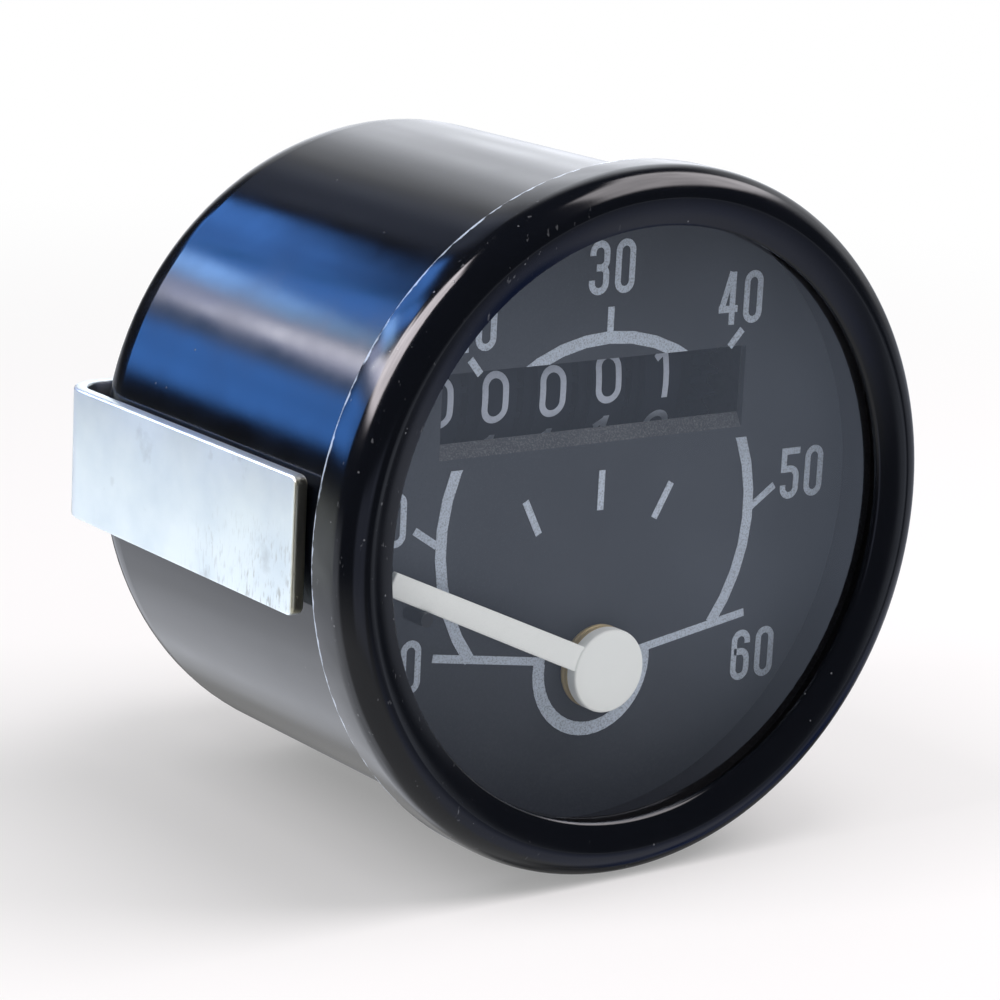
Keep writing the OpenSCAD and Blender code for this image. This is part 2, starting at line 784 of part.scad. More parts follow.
module units_wheel() {
    color("#1b1c1f") translate([train_x, drum_y, drum_z]) rotate([0, 90, 0])
        rotate(90) difference() {
            union() {
                rotate(180 / last_teeth)
                    translate([0, 0, -wheel_w / 2]) linear_extrude(wheel_w) gear_outline(last_teeth, worm_m);
                translate([0, 0, units_x + drum_w / 2 - train_x])
                    cylinder(r = units_sleeve_r, h = cheek_right - pass_gap - units_x - drum_w / 2);
            }
            translate([0, 0, -train_x]) cylinder(r = train_r + run_gap, h = 2 * train_x);
        }
}

// Sector of the drawn plane, centred on the X axis
module sector(r, angle) {
    polygon([
        [0, 0],
        r * [cos(angle / 2), -sin(angle / 2)],
        r * [1, 0],
        r * [cos(angle / 2), sin(angle / 2)]
    ]);
}

// Number drum: place 0 is the units drum; every higher drum has carry teeth on its right side
module drum(place) {
    gear_w = (drum_w - drum_face) / 2;
    tooth = 360 / gear_teeth;
    // The carry notch has passed the pinion by one tenth of a turn
    notch_at = carry_turn + 2.5 * tooth;
    color("#141518") translate([units_x - place * drum_pitch, drum_y, drum_z]) rotate([0, 90, 0])
        difference() {
            union() {
                translate([0, 0, -drum_face / 2]) cylinder(r = drum_r, h = drum_face);
                if (place > 0)
                    translate([0, 0, drum_face / 2]) linear_extrude(gear_w)
                        rotate(carry_turn + tooth / 2) gear_outline(gear_teeth, carry_m);
                else
                    translate([0, 0, drum_face / 2]) cylinder(r = lock_r, h = gear_w);
                translate([0, 0, -drum_face / 2 - gear_w]) linear_extrude(gear_w) {
                    difference() {
                        circle(lock_r);
                        rotate(notch_at) sector(2 * drum_r, 2 * tooth);
                    }
                    intersection() {
                        rotate(carry_turn) gear_outline(gear_teeth, carry_m);
                        rotate(notch_at) sector(2 * drum_r, 2 * tooth);
                    }
                    circle(gear_r - tooth_ded * carry_m);
                }
            }
            translate([0, 0, -drum_w]) cylinder(r = train_r + run_gap, h = 2 * drum_w);
        }
}

module drum_axle() {
    color("#b4b8be") rod_x(drum_y, drum_z, train_r, cheek_outer_left, cheek_outer_right);
}

// Carry pinion between two drums: all teeth towards the higher drum, every other one towards the lower
module carry_pinion(place) {
    middle = units_x - (place - 0.5) * drum_pitch;
    color("#cfc9b6") translate([middle, carry_y, carry_z]) rotate([0, 90, 0])
        rotate(carry_turn + 180) difference() {
            union() {
                translate([0, 0, -pinion_w / 2])
                    linear_extrude(pinion_w / 2) gear_outline(pinion_teeth, carry_m, 2);
                rotate(360 / pinion_teeth) translate([0, 0, -pinion_w / 2])
                    linear_extrude(pinion_w) gear_outline(pinion_teeth, carry_m, 2);
            }
            translate([0, 0, -pinion_w]) cylinder(r = carry_r + run_gap, h = 2 * pinion_w);
        }
}

module pinion_axle() {
    color("#b4b8be") rod_x(carry_y, carry_z, carry_r, cheek_outer_left, cheek_outer_right);
}

module cable_neck() {
    color("#a7acb2") turned_on_pivot() polygon([
        [bush_r, neck_front],
        [spigot_r, neck_front],
        [spigot_r, case_depth],
        [neck_r, case_depth],
        [neck_r, neck_end],
        [ferrule_r, neck_end],
        [ferrule_r, ferrule_floor],
        [bush_r, ferrule_floor]
    ]);
}

module mounting_studs() {
    color("#b9bdc3") for (side = [-1, 1])
        rod_y(side * stud_span / 2, 0, stud_r, base_front, stud_end);
}

// Half outline of the stirrup's strip, as (x, y): leg, bend and half of the bar
module stirrup_side(leg_x, back, bend_r) {
    square_from = panel_gap - cut;
    translate([0, square_from]) square([leg_x, back - bend_r - square_from]);
    translate([0, square_from]) square([leg_x - bend_r, back - square_from]);
    translate([leg_x - bend_r, back - bend_r]) circle(bend_r);
}

module bracket() {
    color("#c9d2dc") difference() {
        translate([0, 0, -bracket_w / 2]) linear_extrude(bracket_w) difference() {
            for (side = [0, 1]) mirror([side, 0]) stirrup_side(leg_out, bar_back, bracket_bend);
            for (side = [0, 1]) mirror([side, 0]) stirrup_side(leg_in, case_depth, bracket_bend - bracket_t);
            translate([-leg_out - cut, panel_gap - 2 * cut]) square([2 * (leg_out + cut), 2 * cut]);
        }
        for (side = [-1, 1])
            rod_y(side * stud_span / 2, 0, stud_r + seat_gap, case_depth - cut, bar_back + cut);
    }
}

module spring_washers() {
    split = 0.6;
    color("#8d9299") for (side = [-1, 1]) translate([side * stud_span / 2, 0, 0]) difference() {
        turned() band(stud_r + seat_gap, washer_r, bar_back, bar_back + washer_t);
        block([-split / 2, bar_back - cut, 0], [split / 2, bar_back + washer_t + cut, washer_r + cut]);
    }
}

module bracket_nuts() {
    nut_front = bar_back + washer_t;
    corner_r = nut_af / 2 / cos(30);
    color("#c3c8ce") for (side = [-1, 1]) translate([side * stud_span / 2, nut_front, 0])
        rotate([-90, 0, 0]) difference() {
            intersection() {
                cylinder(r = corner_r, h = nut_h, $fn = 6);
                rotate_extrude() polygon([
                    [0, 0],
                    [corner_r - nut_chamfer, 0],
                    [corner_r, nut_chamfer],
                    [corner_r, nut_h - nut_chamfer],
                    [corner_r - nut_chamfer, nut_h],
                    [0, nut_h]
                ]);
            }
            translate([0, 0, -cut]) cylinder(r = stud_r, h = nut_h + 2 * cut);
        }
}

module case_screws() {
    head_r = case_head_d / 2;
    slot_w = 0.8;
    slot_floor = case_depth + case_head_h / 2;
    color("#a9adb3") for (side = [-1, 1]) translate([side * case_screw_span / 2, 0, case_screw_z]) {
        rod_y(0, 0, case_screw_d / 2, base_front + 2 * pass_gap, case_depth);
        difference() {
            rod_y(0, 0, head_r, case_depth, case_depth + case_head_h);
            block([-head_r - cut, slot_floor, -slot_w / 2],
                [head_r + cut, case_depth + case_head_h + cut, slot_w / 2]);
        }
    }
}

case();
bezel();
glass();
glass_seal();
dial_ring();
dial();
pointer_stop();
pointer();
pointer_collar();
pointer_spindle();
speed_cup();
hairspring_collet();
hairspring();
hairspring_stud();
bridge();
spindle_bush();
bridge_screws();
magnet();
flux_cup();
drive_shaft();
drive_bush();
thrust_washer();
main_frame();
cross_shaft();
cross_wheel();
upright_shaft();
upright_wheel();
units_wheel();
drum(0);  // drum_units
drum(1);  // drum_tens
drum(2);  // drum_hundreds
drum(3);  // drum_thousands
drum(4);  // drum_ten_thousands
drum_axle();
carry_pinion(1);  // carry_pinion_tens
carry_pinion(2);  // carry_pinion_hundreds
carry_pinion(3);  // carry_pinion_thousands
carry_pinion(4);  // carry_pinion_ten_thousands
pinion_axle();
cable_neck();
mounting_studs();
bracket();
spring_washers();
bracket_nuts();
case_screws();
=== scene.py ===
"""Looks of a moped speedometer: finishes, printed dial, counter figures, bracket, threads and studio."""

import logging
import math
from collections.abc import Callable, Iterator
from contextlib import contextmanager
from dataclasses import dataclass, field
from enum import Enum
from functools import cached_property
from itertools import pairwise

import bmesh
import bpy
from mathutils import Matrix, Vector


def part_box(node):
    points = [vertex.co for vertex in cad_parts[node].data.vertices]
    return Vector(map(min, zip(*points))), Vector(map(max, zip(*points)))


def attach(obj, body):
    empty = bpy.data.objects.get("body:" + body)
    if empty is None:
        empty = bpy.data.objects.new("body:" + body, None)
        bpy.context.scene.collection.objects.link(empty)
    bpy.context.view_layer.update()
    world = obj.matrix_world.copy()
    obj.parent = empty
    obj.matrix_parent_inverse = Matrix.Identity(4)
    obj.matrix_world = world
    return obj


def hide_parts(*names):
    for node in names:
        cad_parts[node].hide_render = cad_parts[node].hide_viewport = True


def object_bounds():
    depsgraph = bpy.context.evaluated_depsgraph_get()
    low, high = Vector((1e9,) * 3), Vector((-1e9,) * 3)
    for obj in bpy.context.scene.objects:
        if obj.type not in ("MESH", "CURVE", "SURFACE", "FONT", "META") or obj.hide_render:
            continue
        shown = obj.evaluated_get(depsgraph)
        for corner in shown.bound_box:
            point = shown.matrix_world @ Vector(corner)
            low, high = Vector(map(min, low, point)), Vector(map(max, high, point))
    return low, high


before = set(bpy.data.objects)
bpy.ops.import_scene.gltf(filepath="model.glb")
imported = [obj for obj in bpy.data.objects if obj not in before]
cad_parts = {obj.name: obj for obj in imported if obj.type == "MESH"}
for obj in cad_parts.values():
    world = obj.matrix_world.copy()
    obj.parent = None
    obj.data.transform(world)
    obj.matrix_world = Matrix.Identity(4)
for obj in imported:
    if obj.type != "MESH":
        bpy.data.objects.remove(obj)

MM = 0.001
MICRON = 1e-6
TAU = 2 * math.pi
CAD_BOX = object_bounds()
Piece = bpy.types.Object
Material = bpy.types.Material
Socket = bpy.types.NodeSocket
Point = tuple[float, float]
Triple = tuple[float, float, float]
Colour = Triple
log = logging.getLogger("speedometer")


class Body(Enum):
    """Body of the mechanism that a piece moves with."""

    HOUSING = "housing"
    POINTER = "pointer_group"


class Drum(Enum):
    """Number drums from right to left, by the name of their body."""

    UNITS = "units"
    TENS = "tens"
    HUNDREDS = "hundreds"
    THOUSANDS = "thousands"
    TEN_THOUSANDS = "ten_thousands"


class Slot(Enum):
    """Finish that a piece takes."""

    BLACK_PAINT = "black_paint"
    GLASS = "glass"
    SEAL_RUBBER = "seal_rubber"
    DIAL_RING = "dial_ring_black"
    DIAL_PRINT = "dial_print"
    STOP_BLACK = "stop_black"
    POINTER_WHITE = "pointer_white"
    BRASS = "brass"
    BRONZE = "bronze"
    BRIGHT_STEEL = "bright_steel"
    ALUMINIUM = "bare_aluminium"
    BLUED_SPRING = "blued_spring"
    MAGNET_GREY = "magnet_grey"
    ZINC_CASTING = "zinc_casting"
    GEAR_PLASTIC = "gear_plastic"
    DRUM_BLACK = "drum_black"
    PLATED_STEEL = "plated_steel"
    ZINC_PLATE = "zinc_plate"


class Carving(Enum):
    """How one solid is worked with another."""

    CUT = "DIFFERENCE"
    ADD = "UNION"
    KEEP_COMMON = "INTERSECT"


def middle(node: str) -> Vector:
    """Gives the middle of the box of one of the frame's solids."""
    low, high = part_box(node)
    return (low + high) / 2


@dataclass(frozen=True)
class Corner:
    """Corner of a turned section.

    Attributes:
        r: Radius from the axis.
        y: Depth behind the panel seat.
        setback: Length that the corner's rounding takes from each side.
    """

    r: float
    y: float
    setback: float = 0.0


class Bench:
    """Hand operations on one piece at a time."""

    @staticmethod
    def take(piece: Piece) -> None:
        """Selects one piece and nothing else.

        Args:
            piece: The piece to select.
        """
        bpy.ops.object.select_all(action="DESELECT")
        piece.select_set(True)
        bpy.context.view_layer.objects.active = piece

    @classmethod
    @contextmanager
    def editing(cls, piece: Piece) -> Iterator[None]:
        """Opens a piece in edit mode for the length of a with block.

        Args:
            piece: The mesh to edit.

        Returns:
            A context in which mesh operators act on the piece.
        """
        cls.take(piece)
        bpy.ops.object.mode_set(mode="EDIT")
        bpy.ops.mesh.select_mode(type="VERT")
        yield
        bpy.ops.object.mode_set(mode="OBJECT")

    @staticmethod
    def pick_points(piece: Piece, wanted: Callable[[Vector], bool]) -> None:
        """Selects the points of the open mesh that a test accepts.

        Args:
            piece: The piece in edit mode.
            wanted: Test of a point's place.
        """
        bpy.ops.mesh.select_mode(type="VERT")
        bpy.ops.mesh.select_all(action="DESELECT")
        mesh = bmesh.from_edit_mesh(piece.data)
        for vert in mesh.verts:
            vert.select_set(wanted(vert.co))
        mesh.select_flush_mode()
        bmesh.update_edit_mesh(piece.data)

    @classmethod
    def pick_point(cls, piece: Piece, place: Vector) -> None:
        """Selects the points of the open mesh that lie at one place."""
        cls.pick_points(piece, lambda co: (co - place).length < MICRON)

    @classmethod
    def blank(cls, name: str) -> Piece:
        """Makes a piece with an empty mesh.

        Args:
            name: Name of the piece.

        Returns:
            The empty piece.
        """
        bpy.ops.object.select_all(action="DESELECT")
        bpy.ops.mesh.primitive_plane_add(size=MM)
        piece = bpy.context.object
        piece.name = name
        piece.data.name = name
        with cls.editing(piece):
            bpy.ops.mesh.select_all(action="SELECT")
            bpy.ops.mesh.delete(type="VERT")
        return piece

    @staticmethod
    def dot(place: Vector) -> None:
        """Adds one selected point to the open mesh.

        Args:
            place: Place of the point.
        """
        bpy.ops.mesh.select_all(action="DESELECT")
        bpy.ops.mesh.primitive_plane_add(size=MM, location=place)
        bpy.ops.mesh.merge(type="CENTER")

    @staticmethod
    def tidy() -> None:
        """Merges doubles in the open mesh and turns its faces outwards."""
        bpy.ops.mesh.select_all(action="SELECT")
        bpy.ops.mesh.remove_doubles(threshold=0.1 * MICRON)
        bpy.ops.mesh.normals_make_consistent(inside=False)

    @classmethod
    def thicken(cls, piece: Piece, thickness: float) -> None:
        """Gives a sheet its thickness, half to each side, with its faces outwards.

        Args:
            piece: The sheet.
            thickness: Its thickness.
        """
        cls.apply(piece, "SOLIDIFY", thickness=thickness, offset=0.0)
        with cls.editing(piece):
            bpy.ops.mesh.select_all(action="SELECT")
            bpy.ops.mesh.normals_make_consistent(inside=False)

    @classmethod
    def turn(
        cls,
        name: str,
        section: list[Corner],
        pivot: Point = (0.0, 0.0),
        steps: int = 72,
        closed: bool = True,
    ) -> Piece:
        """Turns a section about an axis along Y, as on a lathe.

        Args:
            name: Name of the piece.
            section: Corners of the section in order.
            pivot: Place of the axis, as (x, z).
            steps: Number of faces round the axis.
            closed: Whether the section closes on itself; an open one ends on the axis.

        Returns:
            The turned piece.
        """
        fewest, arc_step = 5, 0.15 * MM
        piece = cls.blank(name)
        places = [Vector((pivot[0] + c.r, c.y, pivot[1])) for c in section]
        with cls.editing(piece):
            cls.dot(places[0])
            for before, after in pairwise(places):
                bpy.ops.mesh.extrude_vertices_move(TRANSFORM_OT_translate={"value": after - before})
            if closed:
                ends = (places[0], places[-1])
                cls.pick_points(piece, lambda co: any((co - end).length < MICRON for end in ends))
                bpy.ops.mesh.edge_face_add()
            for corner, place in zip(section, places):
                if corner.setback:
                    cls.pick_point(piece, place)
                    bpy.ops.mesh.bevel(
                        affect="VERTICES",
                        offset=corner.setback,
                        offset_type="OFFSET",
                        segments=fewest + round(corner.setback / arc_step),
                        profile=0.5,
                    )
            bpy.ops.mesh.select_all(action="SELECT")
            bpy.ops.mesh.spin(steps=steps, angle=TAU, center=(pivot[0], 0, pivot[1]), axis=(0, 1, 0))
            cls.tidy()
        return piece

    @classmethod
    def rod(cls, radius: float, y0: float, y1: float, pivot: Point, sides: int = 48) -> Piece:
        """Makes a plain rod along Y, used to drill or to trim.

        Args:
            radius: Radius of the rod.
            y0: Front end.
            y1: Rear end.
            pivot: Place of its axis, as (x, z).
            sides: Number of faces round it.

        Returns:
            The rod.
        """
        bpy.ops.object.select_all(action="DESELECT")
        bpy.ops.mesh.primitive_cylinder_add(
            vertices=sides,
            radius=radius,
            depth=y1 - y0,
            location=(pivot[0], (y0 + y1) / 2, pivot[1]),
            rotation=(math.pi / 2, 0, 0),
        )
        rod = bpy.context.object
        cls.settle(rod)
        return rod

    @classmethod
    def block(cls, name: str, low: Vector, high: Vector) -> Piece:
        """Makes a block between two corners.

        Args:
            name: Name of the piece.
            low: Lowest corner.
            high: Highest corner.

        Returns:
            The block.
        """
        bpy.ops.object.select_all(action="DESELECT")
        bpy.ops.mesh.primitive_cube_add(size=1, location=(low + high) / 2, scale=high - low)
        piece = bpy.context.object
        piece.name = name
        cls.settle(piece)
        return piece

    @classmethod
    def settle(cls, piece: Piece) -> None:
        """Moves a piece's place, turn and scale into its mesh."""
        cls.take(piece)
        bpy.ops.object.transform_apply(location=True, rotation=True, scale=True)

    @classmethod
    def apply(cls, piece: Piece, kind: str, **settings: object) -> None:
        """Adds a modifier and applies it.

        Args:
            piece: The piece to change.
            kind: Type of the modifier.
            settings: Values of the modifier's own settings.
        """
        cls.take(piece)
        modifier = piece.modifiers.new(kind.lower(), kind)
        for key, value in settings.items():
            setattr(modifier, key, value)
        bpy.ops.object.modifier_apply(modifier=modifier.name)

    @classmethod
    def carve(cls, piece: Piece, tool: Piece, how: Carving) -> None:
        """Works a piece with another solid, which is used up.

        Args:
            piece: The piece to change.
            tool: The solid that cuts, adds or trims.
            how: Kind of work.
        """
        cls.apply(piece, "BOOLEAN", operation=how.value, solver="EXACT", object=tool)
        bpy.data.objects.remove(tool)

    @classmethod
    def copy(cls, piece: Piece, name: str) -> Piece:
        """Copies a piece with a mesh of its own.

        Args:
            piece: The piece to copy.
            name: Name of the copy.

        Returns:
            The copy, at the same place.
        """
        cls.take(piece)
        bpy.ops.object.duplicate(linked=False)
        twin = bpy.context.object
        twin.name = name
        twin.data.name = name
        return twin

    @classmethod
    def shift(cls, piece: Piece, offset: Vector) -> Piece:
        """Moves a piece and settles it.

        Args:
            piece: The piece to move.
            offset: How far it moves.

        Returns:
            The piece.
        """
        piece.location = offset
        cls.settle(piece)
        return piece

    @classmethod
    def join(cls, pieces: list[Piece]) -> Piece:
        """Joins pieces into the first of them.

        Args:
            pieces: The pieces to join.

        Returns:
            The joined piece.
        """
        cls.take(pieces[0])
        for piece in pieces[1:]:
            piece.select_set(True)
        bpy.ops.object.join()
        return pieces[0]

    @classmethod
    def smooth(cls, piece: Piece, angle: float) -> None:
        """Shades a piece smooth where its faces meet at less than an angle in degrees."""
        cls.take(piece)
        bpy.ops.object.shade_smooth_by_angle(angle=math.radians(angle))

    @classmethod
    def soften(cls, piece: Piece, width: float, segments: int, angle: float) -> None:
        """Rounds the sharp edges of a piece.

        Args:
            piece: The piece to round.
            width: Width of the rounding.
            segments: Faces across it.
            angle: Least angle of an edge that is rounded, in degrees.
        """
        cls.apply(
            piece,
            "BEVEL",
            width=width,
            segments=segments,
            limit_method="ANGLE",
            angle_limit=math.radians(angle),
            use_clamp_overlap=True,
        )

    @classmethod
    def lathe_thread(
        cls, name: str, radius: float, pitch: float, y0: float, y1: float, pivot: Point
    ) -> Piece:
        """Makes the skin of a threaded rod along Y, with a helical groove. Its ends stay open.

        Args:
            name: Name of the piece.
            radius: Outer radius of the thread.
            pitch: Advance of one turn.
            y0: Front end.
            y1: Rear end.
            pivot: Place of its axis, as (x, z).

        Returns:
            The threaded skin, without faces at its ends.
        """
        depth = 0.55 * pitch
        flat = 0.12 * pitch
        chamfer = 0.9 * depth
        round_steps = 40
        turns = math.ceil((y1 - y0) / pitch) + 2
        steps = [
            Vector((depth, pitch / 2 - flat, 0)),
            Vector((0, flat, 0)),
            Vector((-depth, pitch / 2 - flat, 0)),
            Vector((0, flat, 0)),
        ]
        piece = cls.blank(name)
        with cls.editing(piece):
            cls.dot(Vector((radius - depth, y0 - pitch, 0)))
            for step in steps:
                bpy.ops.mesh.extrude_vertices_move(TRANSFORM_OT_translate={"value": step})
        cls.apply(
            piece,
            "SCREW",
            axis="Y",
            angle=TAU,
            screw_offset=pitch,
            iterations=turns,
            steps=round_steps,
            render_steps=round_steps,
            use_merge_vertices=True,
            merge_threshold=MICRON,
        )
        with cls.editing(piece):
            for y, side in ((y0, -1), (y1, 1)):
                bpy.ops.mesh.select_all(action="SELECT")
                bpy.ops.mesh.bisect(
                    plane_co=(0, y, 0), plane_no=(0, side, 0), clear_outer=True, use_fill=True
                )
            cls.tidy()
        cls.shift(piece, Vector((pivot[0], 0, pivot[1])))
        blank = cls.turn(
            name + "_blank",
            [
                Corner(0, y0 + MICRON),
                Corner(radius + MICRON, y0 + MICRON),
                Corner(radius + MICRON, y1 - chamfer),
                Corner(radius - chamfer, y1 - MICRON),
                Corner(0, y1 - MICRON),
            ],
            pivot,
            64,
            closed=False,
        )
        cls.carve(piece, blank, Carving.KEEP_COMMON)
        with cls.editing(piece):
            cls.pick_points(piece, lambda co: co.y > y1 - 2 * MICRON)
            bpy.ops.transform.resize(value=(1, 0, 1), center_override=(0, y1 - MICRON, 0))
            cls.tidy()
        return piece


class Graph:
    """Node graph with the usual steps of a procedural texture."""

    def __init__(self, tree: bpy.types.NodeTree) -> None:
        """Opens a node tree.

        Args:
            tree: The node tree.
        """
        self.nodes = tree.nodes
        self.links = tree.links

    @cached_property
    def coordinates(self) -> Socket:
        """Coordinates in the piece's own frame."""
        return self.nodes.new("ShaderNodeTexCoord").outputs["Object"]

    def feed(self, target: Socket, value: object) -> None:
        """Sets a socket to a value, or links it to another socket.

        Args:
            target: The socket.
            value: A plain value, a colour or an output of another node.
        """
        if isinstance(value, bpy.types.NodeSocket):
            self.links.new(value, target)
        elif isinstance(value, tuple) and len(value) == 3 and target.type == "RGBA":
            target.default_value = (*value, 1.0)
        else:
            target.default_value = value

    def stretched(self, scale: Triple) -> Socket:
        """Gives coordinates that are stretched along the axes.

        Args:
            scale: Factor along X, Y and Z.

        Returns:
            The stretched coordinates.
        """
        node = self.nodes.new("ShaderNodeMapping")
        self.links.new(self.coordinates, node.inputs["Vector"])
        node.inputs["Scale"].default_value = scale
        return node.outputs["Vector"]

    def noise(self, size: float, detail: float = 3.0, at: Socket | None = None) -> Socket:
        """Gives cloudy noise.

        Args:
            size: Size of a patch in metres.
            detail: Octaves of finer noise.
            at: Coordinates, or the piece's own.

        Returns:
            Noise from 0 to 1.
        """
        node = self.nodes.new("ShaderNodeTexNoise")
        self.links.new(at or self.coordinates, node.inputs["Vector"])
        node.inputs["Scale"].default_value = 1 / size
        node.inputs["Detail"].default_value = detail
        return node.outputs["Fac"]

    def specks(self, spacing: float, share: float, radius: float) -> Socket:
        """Gives scattered round specks.

        Args:
            spacing: Mean distance of the places where a speck may lie.
            share: Share of the places that have one.
            radius: Radius of a speck as a share of the spacing.

        Returns:
            1 inside a speck and 0 outside.
        """
        node = self.nodes.new("ShaderNodeTexVoronoi")
        self.links.new(self.coordinates, node.inputs["Vector"])
        node.inputs["Scale"].default_value = 1 / spacing
        near = self.ramp(node.outputs["Distance"], radius, 0.6 * radius)
        pick = self.nodes.new("ShaderNodeSeparateColor")
        self.links.new(node.outputs["Color"], pick.inputs["Color"])
        picked = self.ramp(pick.outputs["Red"], 1 - share, 1 - share + 0.02)
        return self.math("MULTIPLY", near, picked)

    def axis(self, name: str) -> Socket:
        """Gives one of the piece's coordinates.

        Args:
            name: X, Y or Z.

        Returns:
            The coordinate.
        """
        node = self.nodes.new("ShaderNodeSeparateXYZ")
        self.links.new(self.coordinates, node.inputs["Vector"])
        return node.outputs[name]

    def ramp(
        self, value: Socket, low: float, high: float, to_low: float = 0.0, to_high: float = 1.0
    ) -> Socket:
        """Maps a value from one range to another, held at the ends.

        Args:
            value: The value to map.
            low: Start of its range.
            high: End of its range.
            to_low: Result at the start.
            to_high: Result at the end.

        Returns:
            The mapped value.
        """
        node = self.nodes.new("ShaderNodeMapRange")
        for name, setting in (
            ("Value", value),
            ("From Min", low),
            ("From Max", high),
            ("To Min", to_low),
            ("To Max", to_high),
        ):
            self.feed(node.inputs[name], setting)
        return node.outputs["Result"]

    def math(self, operation: str, first: Socket, second: Socket | float | None = None) -> Socket:
        """Works out one value or two.

        Args:
            operation: Kind of sum.
            first: First value.
            second: Second value, where the sum has one.

        Returns:
            The result.
        """
        node = self.nodes.new("ShaderNodeMath")
        node.operation = operation
        self.feed(node.inputs[0], first)
        if second is not None:
            self.feed(node.inputs[1], second)
        return node.outputs["Value"]

    def vector(
        self, operation: str, first: Socket | Triple, second: Socket | Triple | None = None
    ) -> bpy.types.Node:
        """Works out one vector or two.

        Args:
            operation: Kind of sum.
            first: First vector.
            second: Second vector, where the sum has one.

        Returns:
            The node, with the result on its outputs.
        """
        node = self.nodes.new("ShaderNodeVectorMath")
        node.operation = operation
        self.feed(node.inputs[0], first)
        if second is not None:
            self.feed(node.inputs[1], second)
        return node

    def length(self, vector: Socket) -> Socket:
        """Gives the length of a vector."""
        return self.vector("LENGTH", vector).outputs["Value"]

    def scaled(self, vector: Triple, factor: Socket) -> Socket:
        """Gives a vector times a factor.

        Args:
            vector: The vector.
            factor: The factor.

        Returns:
            The product.
        """
        node = self.vector("SCALE", vector)
        self.links.new(factor, node.inputs["Scale"])
        return node.outputs["Vector"]

    def unscattered(self) -> Socket:
        """Gives 1 for rays that no matt surface has scattered, and 0 for others."""
        depth = self.nodes.new("ShaderNodeLightPath").outputs["Diffuse Depth"]
        return self.math("LESS_THAN", depth, 0.5)

    def surface(self, first: bpy.types.Node, second: bpy.types.Node, share: Socket) -> None:
        """Shows a mix of two shaders.

        Args:
            first: Shader that shows where the share is 0.
            second: Shader that shows where the share is 1.
            share: Share of the second shader.
        """
        mix = self.nodes.new("ShaderNodeMixShader")
        self.links.new(share, mix.inputs["Fac"])
        self.links.new(first.outputs[0], mix.inputs[1])
        self.links.new(second.outputs[0], mix.inputs[2])
        self.links.new(mix.outputs["Shader"], self.nodes["Material Output"].inputs["Surface"])


class Recipe(Graph):
    """Node graph of one finish."""

    mix_from, mix_to, mix_result = 6, 7, 2

    def __init__(self, name: str, colour: Colour, roughness: float, metallic: float = 0.0) -> None:
        """Starts a finish from plain values.

        Args:
            name: Name of the material.
            colour: Base colour.
            roughness: Base roughness.
            metallic: 1 for bare metal.
        """
        self.material = bpy.data.materials.new(name)
        self.material.use_nodes = True
        super().__init__(self.material.node_tree)
        self.shader = self.nodes["Principled BSDF"]
        self.colour: Socket | Colour = colour
        self.set("Base Color", (*colour, 1.0))
        self.set("Roughness", roughness)
        self.set("Metallic", metallic)

    def set(self, name: str, value: object) -> None:
        """Sets a socket of the shader to a value or links it."""
        self.feed(self.shader.inputs[name], value)

    def tint(self, share: Socket, colour: Colour) -> None:
        """Mixes a colour into the finish.

        Args:
            share: Where and how much of the colour shows.
            colour: The colour.
        """
        node = self.nodes.new("ShaderNodeMix")
        node.data_type = "RGBA"
        self.feed(node.inputs["Factor"], share)
        self.feed(node.inputs[self.mix_from], self.colour)
        self.feed(node.inputs[self.mix_to], colour)
        self.colour = node.outputs[self.mix_result]
        self.set("Base Color", self.colour)

    def vary_roughness(self, where: Socket, low: float, high: float) -> None:
        """Lets the roughness follow a noise from its dark to its bright patches."""
        self.set("Roughness", self.ramp(where, 0.3, 0.7, low, high))

    def bump(self, height: Socket, depth: float) -> None:
        """Raises the surface by a height map, on top of earlier ones.

        Args:
            height: The map from 0 to 1.
            depth: Height of 1 in metres.
        """
        node = self.nodes.new("ShaderNodeBump")
        node.inputs["Strength"].default_value = 1.0
        node.inputs["Distance"].default_value = depth
        self.feed(node.inputs["Height"], height)
        existing = self.shader.inputs["Normal"]
        if existing.is_linked:
            self.links.new(existing.links[0].from_socket, node.inputs["Normal"])
        self.links.new(node.outputs["Normal"], existing)


